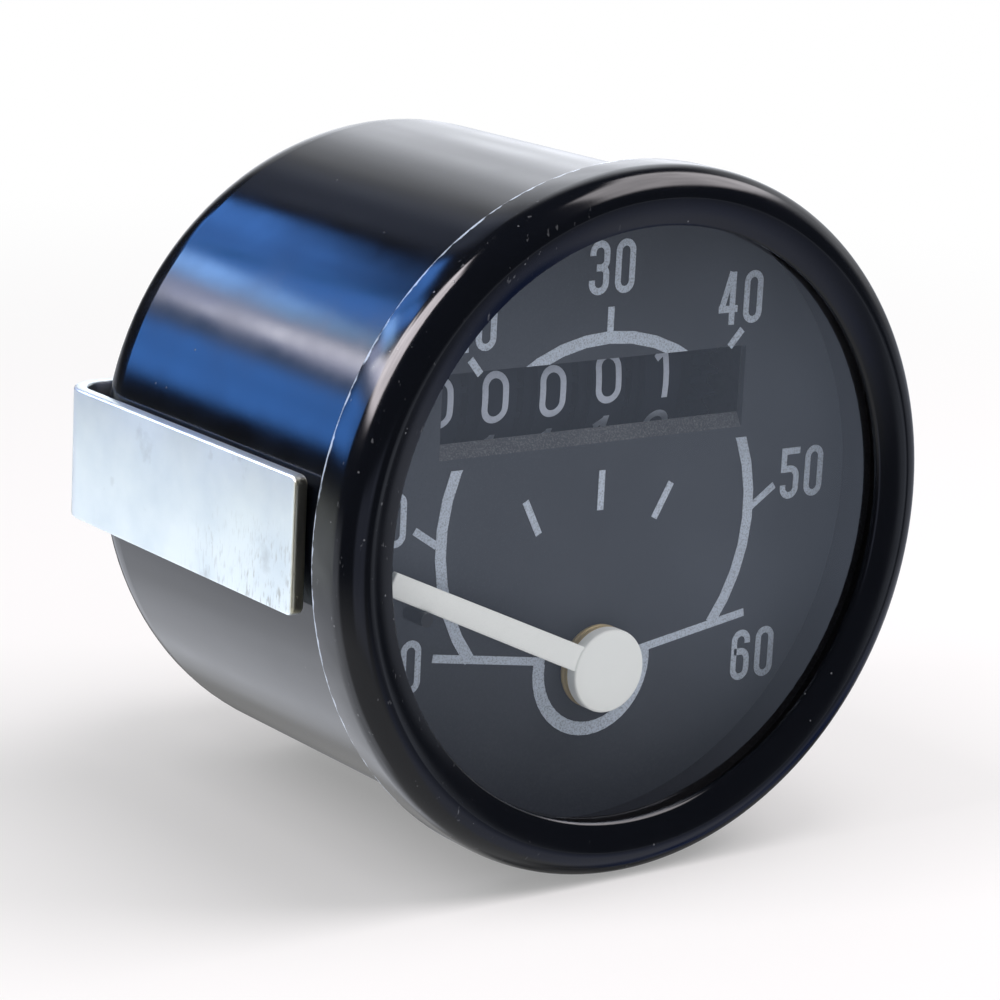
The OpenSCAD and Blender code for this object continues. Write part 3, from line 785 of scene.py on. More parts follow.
@dataclass(frozen=True)
class Lacquer:
    """Gloss black stoved enamel with a faint orange peel and dust.

    Attributes:
        name: Name of the material.
        colour: Colour of the enamel.
        gloss: Roughness where it is clean and where it is grimy.
        peel: Size of a dimple of the orange peel.
        dust: Colour of dust and lint.
        dust_share: Share of the places for a speck that have one.
        rim: Rear edge where the enamel is chipped and where lint gathers, if there is one.
        chip: Colour of the bare edge.
    """

    name: str
    colour: Colour = (0.0035, 0.0045, 0.0075)
    gloss: tuple[float, float] = (0.10, 0.17)
    peel: float = 1.6 * MM
    dust: Colour = (0.22, 0.23, 0.25)
    dust_share: float = 0.06
    rim: Corner | None = None
    chip: Colour = (0.62, 0.72, 0.88)

    def make(self) -> Material:
        """Builds the material.

        Returns:
            The material.
        """
        recipe = Recipe(self.name, self.colour, self.gloss[0])
        dust = recipe.specks(1.0 * MM, self.dust_share, 0.085)
        grime = recipe.noise(5 * MM, 5)
        recipe.set("Roughness", recipe.ramp(grime, 0.35, 0.75, *self.gloss))
        recipe.tint(recipe.math("MULTIPLY", dust, 0.7), self.dust)
        recipe.bump(recipe.noise(self.peel, 1), 1.2 * MICRON)
        recipe.bump(recipe.noise(0.3 * MM, 2), 0.75 * MICRON)
        recipe.bump(dust, 6 * MICRON)
        if self.rim is not None:
            self.wear(recipe, self.rim)
        return recipe.material

    def wear(self, recipe: Recipe, rim: Corner) -> None:
        """Chips the enamel along the rim and lays lint on the left half.

        Args:
            recipe: The finish so far.
            rim: The chipped edge.
        """
        ragged_by = 0.14 * MM
        radius = recipe.length(
            recipe.vector("MULTIPLY", recipe.coordinates, (1.0, 0.0, 1.0)).outputs["Vector"]
        )
        ragged = recipe.ramp(recipe.noise(0.9 * MM, 4), 0.3, 0.7, -ragged_by, ragged_by)
        depth = recipe.math("ADD", recipe.axis("Y"), ragged)
        line = recipe.ramp(depth, rim.y - 0.26 * MM, rim.y - 0.16 * MM)
        outside = recipe.ramp(radius, rim.r - 0.2 * MM, rim.r - 0.1 * MM)
        broken = recipe.ramp(recipe.noise(2.2 * MM, 4), 0.36, 0.5)
        edge = recipe.math("MULTIPLY", line, outside)
        recipe.tint(recipe.math("MULTIPLY", edge, broken), self.chip)
        threads = recipe.noise(0.45 * MM, 3, recipe.stretched((1.0, 1.0, 0.45)))
        fibres = recipe.ramp(threads, 0.69, 0.75, 0, 0.45)
        gathered = recipe.ramp(recipe.axis("X"), 0, -0.6 * rim.r)
        recipe.tint(recipe.math("MULTIPLY", fibres, gathered), self.dust)


@dataclass(frozen=True)
class MattPaint:
    """Matt or satin paint with a fine grain."""

    name: str
    colour: Colour
    grain: Colour
    roughness: float = 0.6
    grain_size: float = 0.16 * MM
    grain_share: float = 0.5
    relief: float = 0.35 * MICRON
    sheen: float = 0.0

    def make(self) -> Material:
        """Builds the material.

        Returns:
            The material.
        """
        recipe = Recipe(self.name, self.colour, self.roughness)
        recipe.set("Specular IOR Level", self.sheen)
        fine = recipe.noise(self.grain_size, 2)
        recipe.tint(recipe.ramp(fine, 0.45, 0.72, 0, self.grain_share), self.grain)
        recipe.tint(recipe.ramp(recipe.noise(6 * MM, 4), 0.4, 0.8, 0, 0.25), self.grain)
        recipe.vary_roughness(fine, self.roughness - 0.08, self.roughness + 0.08)
        recipe.bump(fine, self.relief)
        return recipe.material


@dataclass(frozen=True)
class Metal:
    """Bare or plated metal with tool marks, blotches and fine pits."""

    name: str
    colour: Colour
    stain: Colour
    roughness: float = 0.3
    stain_share: float = 0.35
    stain_size: float = 4 * MM
    brush: Triple = (1.0, 8.0, 1.0)
    relief: float = 1.5 * MICRON
    bareness: float = 1.0

    def make(self) -> Material:
        """Builds the material.

        Returns:
            The material.
        """
        recipe = Recipe(self.name, self.colour, self.roughness, self.bareness)
        lines = recipe.noise(0.5 * MM, 4, recipe.stretched(self.brush))
        blotch = recipe.noise(self.stain_size, 5)
        recipe.tint(recipe.ramp(blotch, 0.42, 0.78, 0, self.stain_share), self.stain)
        recipe.tint(recipe.ramp(lines, 0.55, 0.8, 0, 0.5 * self.stain_share), self.stain)
        recipe.vary_roughness(lines, self.roughness - 0.07, self.roughness + 0.1)
        recipe.bump(lines, self.relief)
        return recipe.material


@dataclass(frozen=True)
class ZincPlate:
    """Bright zinc plating on strip: pale blue-white, pitted, with a yellowish sheared edge."""

    name: str
    colour: Colour = (0.83, 0.90, 0.93)
    cloud: Colour = (0.70, 0.79, 0.83)
    pit: Colour = (0.40, 0.42, 0.40)
    blotch: Colour = (0.50, 0.55, 0.57)
    sheared: Colour = (0.72, 0.67, 0.46)
    foot_y: float = 0.0

    def make(self) -> Material:
        """Builds the material.

        Returns:
            The material.
        """
        recipe = Recipe(self.name, self.colour, 0.34, 1.0)
        clouds = recipe.noise(6 * MM, 5)
        pits = recipe.specks(0.55 * MM, 0.6, 0.24)
        scratches = recipe.noise(0.6 * MM, 4, recipe.stretched((1.0, 2.2, 0.6)))
        along, up = recipe.axis("Y"), recipe.axis("Z")
        near_foot = recipe.ramp(along, self.foot_y + 15 * MM, self.foot_y + 4 * MM)
        low = recipe.ramp(up, 1.5 * MM, -2.5 * MM)
        patchy = recipe.ramp(recipe.noise(2.0 * MM, 4), 0.34, 0.56)
        worn = recipe.math("MULTIPLY", recipe.math("MULTIPLY", near_foot, low), patchy)
        grey = recipe.ramp(recipe.noise(3.5 * MM, 5), 0.62, 0.72, 0, 0.6)
        recipe.tint(recipe.ramp(clouds, 0.4, 0.7, 0, 0.8), self.cloud)
        streaks = recipe.ramp(scratches, 0.52, 0.66, 0, 0.8)
        recipe.tint(recipe.math("MULTIPLY", streaks, worn), self.pit)
        recipe.tint(grey, self.blotch)
        recipe.tint(recipe.math("MULTIPLY", pits, worn), self.pit)
        at_foot = recipe.ramp(along, self.foot_y + 0.35 * MM, self.foot_y + 0.1 * MM, 0, 0.8)
        recipe.tint(at_foot, self.sheared)
        recipe.vary_roughness(clouds, 0.3, 0.46)
        recipe.bump(recipe.math("MULTIPLY", scratches, recipe.ramp(worn, 0, 1, 0.2, 1)), 30 * MICRON)
        recipe.bump(recipe.math("MULTIPLY", pits, worn), -20 * MICRON)
        return recipe.material


@dataclass(frozen=True)
class ClearGlass:
    """Flat clear glass that mirrors by Fresnel's law and shows what lies behind it unmoved."""

    name: str
    tone: Colour = (0.84, 0.91, 1.0)
    ior: float = 1.5
    faces: float = 1.9

    def make(self) -> Material:
        """Builds the material.

        Returns:
            The material.
        """
        recipe = Recipe(self.name, self.tone, 0.0, 1.0)
        recipe.set("Roughness", recipe.ramp(recipe.noise(7 * MM, 4), 0.5, 0.9, 0.0, 0.03))
        clear = recipe.nodes.new("ShaderNodeBsdfTransparent")
        share = recipe.nodes.new("ShaderNodeFresnel")
        share.inputs["IOR"].default_value = self.ior
        side = recipe.nodes.new("ShaderNodeNewGeometry")
        once = recipe.ramp(side.outputs["Backfacing"], 0, 1, self.faces, 0)
        recipe.surface(clear, recipe.shader, recipe.math("MULTIPLY", share.outputs["Fac"], once))
        return recipe.material


@dataclass(frozen=True)
class Moulding:
    """Moulded plastic or rubber with a soft sheen."""

    name: str
    colour: Colour
    shade: Colour
    roughness: float = 0.45
    sheen: float = 0.5

    def make(self) -> Material:
        """Builds the material.

        Returns:
            The material.
        """
        recipe = Recipe(self.name, self.colour, self.roughness)
        recipe.set("Specular IOR Level", self.sheen)
        cloud = recipe.noise(2.5 * MM, 5)
        recipe.tint(recipe.ramp(cloud, 0.4, 0.75, 0, 0.6), self.shade)
        recipe.vary_roughness(cloud, self.roughness - 0.08, self.roughness + 0.1)
        recipe.bump(recipe.noise(0.12 * MM, 2), 2 * MICRON)
        return recipe.material


class Finishes:
    """All finishes of the instrument, each made once."""

    def __init__(self) -> None:
        """Makes the finishes of the record's slots and the extra inks."""
        foot_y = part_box("bracket")[0].y
        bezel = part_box("bezel")[1]
        made = {
            Slot.BLACK_PAINT: Lacquer("black_enamel"),
            Slot.GLASS: ClearGlass("clear_glass"),
            Slot.SEAL_RUBBER: Moulding("seal_rubber", (0.012, 0.012, 0.012), (0.03, 0.03, 0.03), 0.7),
            Slot.DIAL_RING: MattPaint("ring_black", (0.012, 0.012, 0.014), (0.03, 0.03, 0.034), 0.45),
            Slot.DIAL_PRINT: MattPaint("dial_charcoal", (0.047, 0.053, 0.064), (0.063, 0.069, 0.081), 0.62),
            Slot.STOP_BLACK: Moulding("stop_black", (0.01, 0.01, 0.01), (0.025, 0.025, 0.025), 0.6),
            Slot.POINTER_WHITE: MattPaint("pointer_white", (0.90, 0.94, 0.92), (0.83, 0.87, 0.85), 0.5),
            Slot.BRASS: Metal("turned_brass", (0.50, 0.40, 0.20), (0.32, 0.25, 0.12), 0.42, bareness=0.3),
            Slot.BRONZE: Metal("bush_bronze", (0.46, 0.30, 0.15), (0.25, 0.17, 0.09), 0.42),
            Slot.BRIGHT_STEEL: Metal("bright_steel", (0.56, 0.57, 0.58), (0.40, 0.40, 0.41), 0.26),
            Slot.ALUMINIUM: Metal("spun_aluminium", (0.75, 0.76, 0.77), (0.60, 0.61, 0.62), 0.3),
            Slot.BLUED_SPRING: Metal("blued_spring", (0.12, 0.18, 0.40), (0.22, 0.16, 0.30), 0.25),
            Slot.MAGNET_GREY: Metal("sintered_magnet", (0.20, 0.20, 0.21), (0.12, 0.12, 0.13), 0.55),
            Slot.ZINC_CASTING: Metal(
                "zinc_casting",
                (0.50, 0.51, 0.53),
                (0.36, 0.37, 0.39),
                0.48,
                brush=(1.0, 1.0, 1.0),
                relief=5 * MICRON,
            ),
            Slot.GEAR_PLASTIC: Moulding("gear_nylon", (0.72, 0.69, 0.58), (0.62, 0.57, 0.44), 0.42),
            Slot.DRUM_BLACK: Moulding("drum_black", (0.004, 0.005, 0.008), (0.011, 0.013, 0.018), 0.6, 0.0),
            Slot.PLATED_STEEL: Metal("plated_steel", (0.66, 0.69, 0.72), (0.48, 0.50, 0.53), 0.27),
            Slot.ZINC_PLATE: ZincPlate("zinc_plate", foot_y=foot_y),
        }
        self.by_slot = {slot: finish.make() for slot, finish in made.items()}
        self.bezel = Lacquer("bezel_enamel", dust_share=0.2, rim=Corner(bezel.x, bezel.y)).make()
        scale_ink = MattPaint("scale_ink", (0.55, 0.63, 0.73), (0.22, 0.25, 0.30), 0.6, 0.13 * MM, 0.8)
        self.scale_ink = scale_ink.make()
        figure_ink = MattPaint("figure_ink", (0.45, 0.50, 0.59), (0.32, 0.36, 0.43), 0.55)
        self.figure_ink = figure_ink.make()
        # The lip paint is lighter than the dial's charcoal: painted light on the upward-facing slope below
        # the counter window.
        lip = MattPaint("lip_painted_light", (0.070, 0.075, 0.084), (0.21, 0.22, 0.235), 0.7, 0.12 * MM, 0.7)
        self.lip = lip.make()

    def dress(self, piece: Piece, slot: Slot, material: Material | None = None) -> None:
        """Gives a piece its finish.

        Args:
            piece: The piece.
            slot: Slot of the record whose finish it gets when no other is given.
            material: Another finish of that slot, if it has one.
        """
        piece.data.materials.clear()
        piece.data.materials.append(material or self.by_slot[slot])

    def dress_node(self, node: Piece) -> None:
        """Gives a solid of the frame the finish of the slot that its material names."""
        for holder in node.material_slots:
            holder.material = self.by_slot[Slot(holder.material.name.split(".")[0])]


def seat(piece: Piece, body: str, *nodes: str) -> Piece:
    """Lets a finished piece ride on a body and stand for solids of the frame.

    Args:
        piece: The piece, in place.
        body: Name of the body.
        nodes: Solids that it stands for.

    Returns:
        The piece.
    """
    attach(piece, body)
    if nodes:
        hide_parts(*nodes)
    log.info("%s rides on %s, %d faces", piece.name, body, len(piece.data.polygons))
    return piece


@dataclass(frozen=True)
class Ahead:
    """Straight stretch of a stroke."""

    length: float


@dataclass(frozen=True)
class Swing:
    """Round stretch of a stroke; a positive turn goes to the left."""

    turn: float
    radius: float


@dataclass(frozen=True)
class Stroke:
    """Path of the pen in the plane of the dial.

    Attributes:
        start: First point of the centre line, as (x, z).
        heading: First direction in degrees; 0 is right and 90 is up.
        moves: Stretches in order.
    """

    start: Point
    heading: float
    moves: tuple[Ahead | Swing, ...]

    @staticmethod
    def line(start: Point, end: Point) -> "Stroke":
        """Gives the straight stroke between two points."""
        dx, dz = end[0] - start[0], end[1] - start[1]
        return Stroke(start, math.degrees(math.atan2(dz, dx)), (Ahead(math.hypot(dx, dz)),))

    @staticmethod
    def arc(centre: Point, radius: float, start: float, sweep: float) -> "Stroke":
        """Gives an arc that runs anticlockwise.

        Args:
            centre: Centre of the arc.
            radius: Radius of its centre line.
            start: First angle in degrees.
            sweep: Angle that it covers.

        Returns:
            The stroke.
        """
        a = math.radians(start)
        first = (centre[0] + radius * math.cos(a), centre[1] + radius * math.sin(a))
        return Stroke(first, start + 90, (Swing(sweep, radius),))

    def moved(self, x: float, z: float) -> "Stroke":
        """Gives the same stroke further right and further up."""
        return Stroke((self.start[0] + x, self.start[1] + z), self.heading, self.moves)


class Pen:
    """Draws flat ribbons of ink in planes along the dial."""

    step_angle = 9.0
    layer = 2 * MICRON

    def __init__(self, name: str, width: float, y: float) -> None:
        """Takes up a pen.

        Args:
            name: Name of the drawn piece.
            width: Width of the stroke.
            y: Depth of the first stroke.
        """
        self.piece = Bench.blank(name)
        self.width = width
        self.y = y

    def nib(self, place: Vector, ahead: Vector) -> None:
        """Adds the edge that a stroke starts from.

        Args:
            place: Middle of the edge.
            ahead: Direction of the stroke.
        """
        towards_eye = Vector((0, -1, 0))
        turn = Matrix((ahead.cross(towards_eye), ahead, towards_eye)).transposed()
        bpy.ops.mesh.select_all(action="DESELECT")
        bpy.ops.mesh.primitive_plane_add(
            size=self.width, location=place - ahead * self.width / 2, rotation=turn.to_euler()
        )
        mesh = bmesh.from_edit_mesh(self.piece.data)
        for vert in [v for v in mesh.verts if v.select]:
            vert.select_set((vert.co - place).dot(ahead) < -self.width / 2)
        mesh.select_flush_mode()
        bmesh.update_edit_mesh(self.piece.data)
        bpy.ops.mesh.delete(type="VERT")
        mesh = bmesh.from_edit_mesh(self.piece.data)
        for vert in mesh.verts:
            reach = abs((vert.co - place).length - self.width / 2)
            vert.select_set(vert.is_valid and not vert.link_faces and reach < MICRON)
        mesh.select_flush_mode()
        bmesh.update_edit_mesh(self.piece.data)

    def draw(self, strokes: list[Stroke]) -> Piece:
        """Draws strokes, each a layer nearer to the eye than the last.

        Args:
            strokes: The strokes in order.

        Returns:
            The piece that holds them.
        """
        with Bench.editing(self.piece):
            bpy.ops.mesh.select_mode(type="VERT")
            for number, stroke in enumerate(strokes):
                heading = stroke.heading
                place = Vector((stroke.start[0], self.y - number * self.layer, stroke.start[1]))
                self.nib(place, self.direction(heading))
                for move in stroke.moves:
                    if isinstance(move, Ahead):
                        step = self.direction(heading) * move.length
                        bpy.ops.mesh.extrude_edges_move(TRANSFORM_OT_translate={"value": step})
                        place = place + step
                        continue
                    side = math.copysign(90, move.turn)
                    centre = place + self.direction(heading + side) * move.radius
                    bpy.ops.mesh.spin(
                        steps=max(2, round(abs(move.turn) / self.step_angle)),
                        angle=math.radians(move.turn),
                        center=centre,
                        axis=(0, 1, 0),
                    )
                    heading += move.turn
                    place = centre - self.direction(heading + side) * move.radius
        return self.piece

    @staticmethod
    def direction(angle: float) -> Vector:
        """Gives the unit vector of an angle in the dial's plane."""
        return Vector((math.cos(math.radians(angle)), 0, math.sin(math.radians(angle))))


@dataclass(frozen=True)
class Figures:
    """Condensed upright figures of one size.

    Attributes:
        width: Width over the strokes.
        height: Height over the strokes.
        stroke: Width of a stroke.
    """

    width: float
    height: float
    stroke: float

    @property
    def w(self) -> float:
        """Width between the centre lines of the outer strokes."""
        return self.width - self.stroke

    @property
    def h(self) -> float:
        """Height between the centre lines of the outer strokes."""
        return self.height - self.stroke

    @property
    def half(self) -> float:
        """Half the width of a stroke."""
        return self.stroke / 2

    @property
    def hook(self) -> float:
        """Straight start of a round figure."""
        return 0.06 * self.h

    def strokes(self, digit: int) -> list[Stroke]:
        """Gives the strokes of a figure whose lower left corner is the origin.

        Args:
            digit: The figure, 0 to 9.

        Returns:
            Its strokes.
        """
        low = (self.zero, self.one, self.two, self.three, self.four)
        high = (self.five, self.six, self.seven, self.eight, self.nine)
        return [stroke.moved(self.half, self.half) for stroke in (low + high)[digit]()]

    def loop(self, low: float, high: float) -> Stroke:
        """Gives a closed loop with half-round ends.

        Args:
            low: Foot of its centre line.
            high: Head of its centre line.

        Returns:
            The loop.
        """
        r = self.w / 2
        side = (high - low) / 2 - r
        moves = (Ahead(side), Swing(-180, r), Ahead(2 * side), Swing(-180, r), Ahead(side))
        return Stroke((0, (low + high) / 2), 90, moves)

    def zero(self) -> list[Stroke]:
        """Gives the strokes of 0."""
        return [self.loop(0, self.h)]

    def one(self) -> list[Stroke]:
        """Gives the strokes of 1: a stem right of the middle and a flag.

        Returns:
            The strokes.
        """
        w, h = self.w, self.h
        stem = 0.62 * w
        return [
            Stroke.line((stem, -self.half), (stem, h + self.half)),
            Stroke.line((stem, h), (stem - 0.5 * w, h - 0.34 * w)),
        ]

    def two(self) -> list[Stroke]:
        """Gives the strokes of 2: a bow that runs into a slope, and a foot.

        Returns:
            The strokes.
        """
        w, h = self.w, self.h
        r = w / 2
        lean_degrees = 30
        lean = math.radians(lean_degrees)
        slope = (w - r * (1 - math.cos(lean))) / math.sin(lean)
        neck = r * math.sin(lean) + slope * math.cos(lean)
        moves = (
            Ahead(self.hook),
            Swing(-180, r),
            Ahead(max(h - r - neck, 0.01 * w)),
            Swing(-lean_degrees, r),
            Ahead(slope),
        )
        return [
            Stroke((0, h - r - self.hook), 90, moves),
            Stroke.line((-self.half, 0), (w + self.half, 0)),
        ]

    def three(self) -> list[Stroke]:
        """Gives the strokes of 3: two bows that meet in the middle.

        Returns:
            The strokes.
        """
        r, small, tail = self.w / 2, 0.4 * self.w, 0.3 * self.w
        side = self.h / 2 - r - small
        upper, lower = (
            (Ahead(self.hook), Swing(2 * turn, r), Ahead(side), Swing(turn, small), Ahead(tail))
            for turn in (-90, 90)
        )
        return [Stroke((0, self.h - r - self.hook), 90, upper), Stroke((0, r + self.hook), 270, lower)]

    def four(self) -> list[Stroke]:
        """Gives the strokes of 4: a stem, a slope and a bar.

        Returns:
            The strokes.
        """
        w, h, half = self.w, self.h, self.half
        stem, bar = 0.8 * w, 0.27 * h
        return [
            Stroke.line((stem, -half), (stem, h + half)),
            Stroke.line((stem - 0.1 * w, h + half), (0, bar)),
            Stroke.line((-half, bar), (w + half, bar)),
        ]

    def five(self) -> list[Stroke]:
        """Gives the strokes of 5: a flag, a short stem and a bowl.

        Returns:
            The strokes.
        """
        w, h, half = self.w, self.h, self.half
        r, shoulder = w / 2, 0.6 * h
        bowl = (Ahead(w - r), Swing(-90, r), Ahead(shoulder - 2 * r), Swing(-180, r), Ahead(self.hook))
        return [
            Stroke.line((-half, h), (w + half, h)),
            Stroke.line((0, h), (0, shoulder - half)),
            Stroke((0, shoulder), 0, bowl),
        ]

    def six(self) -> list[Stroke]:
        """Gives the strokes of 6: one line from the head round the bowl.

        Returns:
            The strokes.
        """
        w, h = self.w, self.h
        r, shoulder = w / 2, 0.58 * h
        moves = (
            Ahead(self.hook),
            Swing(180, r),
            Ahead(h - 2 * r),
            Swing(180, r),
            Ahead(shoulder - 2 * r),
            Swing(90, r),
            Ahead(w - r),
        )
        return [Stroke((w, h - r - self.hook), 90, moves)]

    def seven(self) -> list[Stroke]:
        """Gives the strokes of 7: a flag and a slope.

        Returns:
            The strokes.
        """
        w, h, half = self.w, self.h, self.half
        return [Stroke.line((-half, h), (w + half, h)), Stroke.line((w, h), (0.3 * w, -half))]

    def eight(self) -> list[Stroke]:
        """Gives the strokes of 8."""
        return [self.loop(0, self.h / 2), self.loop(self.h / 2, self.h)]

    def nine(self) -> list[Stroke]:
        """Gives the strokes of 9: those of 6, turned by half a turn.

        Returns:
            The strokes.
        """
        return [
            Stroke((self.w - s.start[0], self.h - s.start[1]), s.heading + 180, s.moves)
            for s in self.six()
        ]


@dataclass
class Shells:
    """Bezel round the case, and the glass.

    Attributes:
        finishes: The finishes.
        face_open_r: Radius of the opening in the bezel's face.
        dish: Depth by which the face falls towards the opening.
        shoulder: Rounding of the outer front edge.
        edge: Rounding of the opening's edges.
        rear_edge: Rounding of the outer rear edge.
        bore_edge: Rounding of the rear edge round the can.
        flange_back: Depth at which the rolled wall grips the can's flange.
        flange_play: Clearance round the flange.
        strip: Thickness of the bracket's strip with its clearance to the can.
    """

    finishes: Finishes
    face_open_r: float = 21.25 * MM
    dish: float = 0.65 * MM
    shoulder: float = 2.05 * MM
    edge: float = 0.22 * MM
    rear_edge: float = 0.14 * MM
    bore_edge: float = 0.05 * MM
    flange_back: float = -0.7 * MM
    flange_play: float = 0.1 * MM
    strip: float = 1.1 * MM

    def build(self) -> None:
        """Turns the bezel and lets lamps pass the glass."""
        low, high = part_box("bezel")
        seat_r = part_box("case")[1].x + self.flange_play
        can_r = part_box("bracket")[1].x - self.strip
        seal_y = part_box("glass_seal")[0].y
        section = [
            Corner(self.face_open_r, low.y + self.dish, self.edge),
            Corner(high.x - 1.02 * self.shoulder, low.y),
            Corner(high.x, low.y, self.shoulder),
            Corner(high.x, high.y, self.rear_edge),
            Corner(can_r, high.y, self.bore_edge),
            Corner(can_r, self.flange_back),
            Corner(seat_r, self.flange_back),
            Corner(seat_r, seal_y),
            Corner(self.face_open_r, seal_y, self.edge),
        ]
        bezel = Bench.turn("bezel_ring", section, steps=180)
        Bench.smooth(bezel, 40)
        self.finishes.dress(bezel, Slot.BLACK_PAINT, self.finishes.bezel)
        seat(bezel, Body.HOUSING.value, "bezel")
        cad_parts["glass"].visible_shadow = False


@dataclass
class DialPlate:
    """Dial with its counter window and printed scale.

    Attributes:
        finishes: The finishes.
        front: Depth of the dial's face.
        edge: Rounding of the plate's rim.
        spindle_hole_r: Radius of the hole for the pointer's spindle.
        lip: Height of the slope below the window.
        ink: Thickness of the print.
        ring_centre: Centre of the scale's ring.
        ring_r: Radius of the ring's centre line.
        ring_w: Width of the ring.
        ring_top: First angle and sweep in degrees of the ring over the window.
        ring_left: First angle and sweep of the ring's left side.
        ring_right: First angle and sweep of the ring's right side.
        ring_gap_low: Height at which the ring ends below the window.
        line_w: Width of the end lines.
        line_lift: Height of the end lines over the ring, so that no two faces coincide.
        tick_w: Width of the ticks.
        tick_lift: Height of the ticks over the ring.
        cup_centre: Centre of the bow under the hub.
        cup_r: Radius of the bow's centre line.
        cup_w: Width of the bow.
        cup_arc: First angle and sweep of the bow.
        cup_lift: Height of the bow over the ring.
        window_left: Left side of the counter window.
        window_right: Right side of the window.
        window_low: Lower side of the window at the plate's back.
        window_high: Upper side of the window.
        end_lines: Ends of the long lines, in millimetres.
        ticks: Ends of the ticks, in millimetres.
        numbers: Lower left corner of each number, in millimetres.
        figures: The numbers' figures.
        figure_gap: Gap between two figures.
    """

    finishes: Finishes
    front: float = field(default_factory=lambda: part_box("dial")[0].y)
    edge: float = 0.06 * MM
    spindle_hole_r: float = 1.2 * MM
    lip: float = 1.0 * MM
    ink: float = 0.03 * MM
    ring_centre: Point = (0.0, -1.13 * MM)
    ring_r: float = 13.65 * MM
    ring_w: float = 0.9 * MM
    ring_top: tuple[float, float] = (20.0, 140.0)
    ring_left: tuple[float, float] = (140.0, 78.0)
    ring_right: tuple[float, float] = (-38.0, 78.0)
    ring_gap_low: float = 4.2 * MM
    line_w: float = 0.6 * MM
    line_lift: float = 3 * MICRON
    tick_w: float = 0.55 * MM
    tick_lift: float = 8 * MICRON
    cup_centre: Point = (0.0, -11.3 * MM)
    cup_r: float = 4.7 * MM
    cup_w: float = 1.0 * MM
    cup_arc: tuple[float, float] = (172.0, 196.0)
    cup_lift: float = 12 * MICRON
    window_left: float = -14.1 * MM
    window_right: float = 12.5 * MM
    window_low: float = 6.0 * MM
    window_high: float = 11.0 * MM
    end_lines: tuple[tuple[Point, Point], ...] = (
        ((-13.9, -9.0), (-4.2, -10.5)),
        ((13.9, -9.1), (4.2, -10.65)),
    )
    ticks: tuple[tuple[Point, Point], ...] = (
        ((0, 12.9), (0, 14.7)),
        ((-15.9, 0.3), (-14.0, -0.95)),
        ((16.0, 0.3), (13.9, -1.1)),
        ((-11.9, 11.9), (-11.0, 10.8)),
        ((12.0, 12.2), (10.9, 11.0)),
        ((-6.6, 1.4), (-5.3, -1.1)),
        ((0, 3.0), (0, 0.1)),
        ((6.3, 1.5), (4.9, -1.0)),
    )
    numbers: tuple[tuple[str, float, float], ...] = (
        ("0", -16.6, -11.3),
        ("10", -20.6, -0.7),
        ("20", -13.8, 12.4),
        ("30", -2.1, 15.6),
        ("40", 9.7, 12.6),
        ("50", 16.6, -0.9),
        ("60", 13.0, -14.3),
    )
    figures: Figures = Figures(1.72 * MM, 3.85 * MM, 0.5 * MM)
    figure_gap: float = 0.55 * MM

    def build(self) -> None:
        """Makes the plate and its print."""
        self.make_plate()
        self.make_print()

    def make_plate(self) -> None:
        """Turns the plate, cuts its window and spindle hole, and gives the slope below the window a lighter
        paint as painted light.
        """
        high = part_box("dial")[1]
        back, rim = high.y, high.x
        section = [
            Corner(0, self.front),
            Corner(rim, self.front, self.edge),
            Corner(rim, back, self.edge),
            Corner(0, back),
        ]
        plate = Bench.turn("dial_plate", section, steps=128, closed=False)
        past = 1.0 * MM
        window = Bench.block(
            "window",
            Vector((self.window_left, self.front - past, self.window_low - self.lip)),
            Vector((self.window_right, back, self.window_high)),
        )
        with Bench.editing(window):
            Bench.pick_points(window, lambda co: co.z < self.window_low and co.y > self.front)
            bpy.ops.transform.translate(value=(0, 0, self.lip))
            Bench.pick_points(window, lambda co: co.z < self.window_low and co.y < self.front)
            bpy.ops.transform.translate(value=(0, 0, -self.lip * past / (back - self.front)))
            Bench.pick_points(window, lambda co: co.y > self.front)
            bpy.ops.mesh.extrude_region_move(TRANSFORM_OT_translate={"value": (0, past, 0)})
        Bench.carve(plate, window, Carving.CUT)
        pivot = (0, middle("pointer_spindle").z)
        hole = Bench.rod(self.spindle_hole_r, self.front - past, back + past, pivot)
        Bench.carve(plate, hole, Carving.CUT)
        Bench.smooth(plate, 5)
        self.finishes.dress(plate, Slot.DIAL_PRINT)
        # Upward-facing faces of the slope below the window take the lighter lip paint, a painted light
        # where light falls on that side of the plate.
        plate.data.materials.append(self.finishes.lip)
        for face in plate.data.polygons:
            sloping = face.normal.z > 0.3 and face.normal.y < -0.3
            if sloping and abs(face.center.x) < 0.9 * rim:
                face.material_index = 1
        seat(plate, Body.HOUSING.value, "dial")

    def make_print(self) -> None:
        """Prints the scale, its marks and its numbers."""
        drawn = [
            self.ring_stretch("scale_top", *self.ring_top, keep_above=self.window_high),
            self.ring_stretch("scale_left", *self.ring_left, keep_below=self.ring_gap_low),
            self.ring_stretch("scale_right", *self.ring_right, keep_below=self.ring_gap_low),
            self.marks(),
            self.cup(),
            *self.place_numbers(),
        ]
        scale = Bench.join(drawn)
        scale.name = "dial_scale"
        Bench.thicken(scale, self.ink)
        self.finishes.dress(scale, Slot.DIAL_PRINT, self.finishes.scale_ink)
        seat(scale, Body.HOUSING.value)

    @property
    def ink_y(self) -> float:
        """Depth of the middle of the ink."""
        return self.front - 0.55 * self.ink

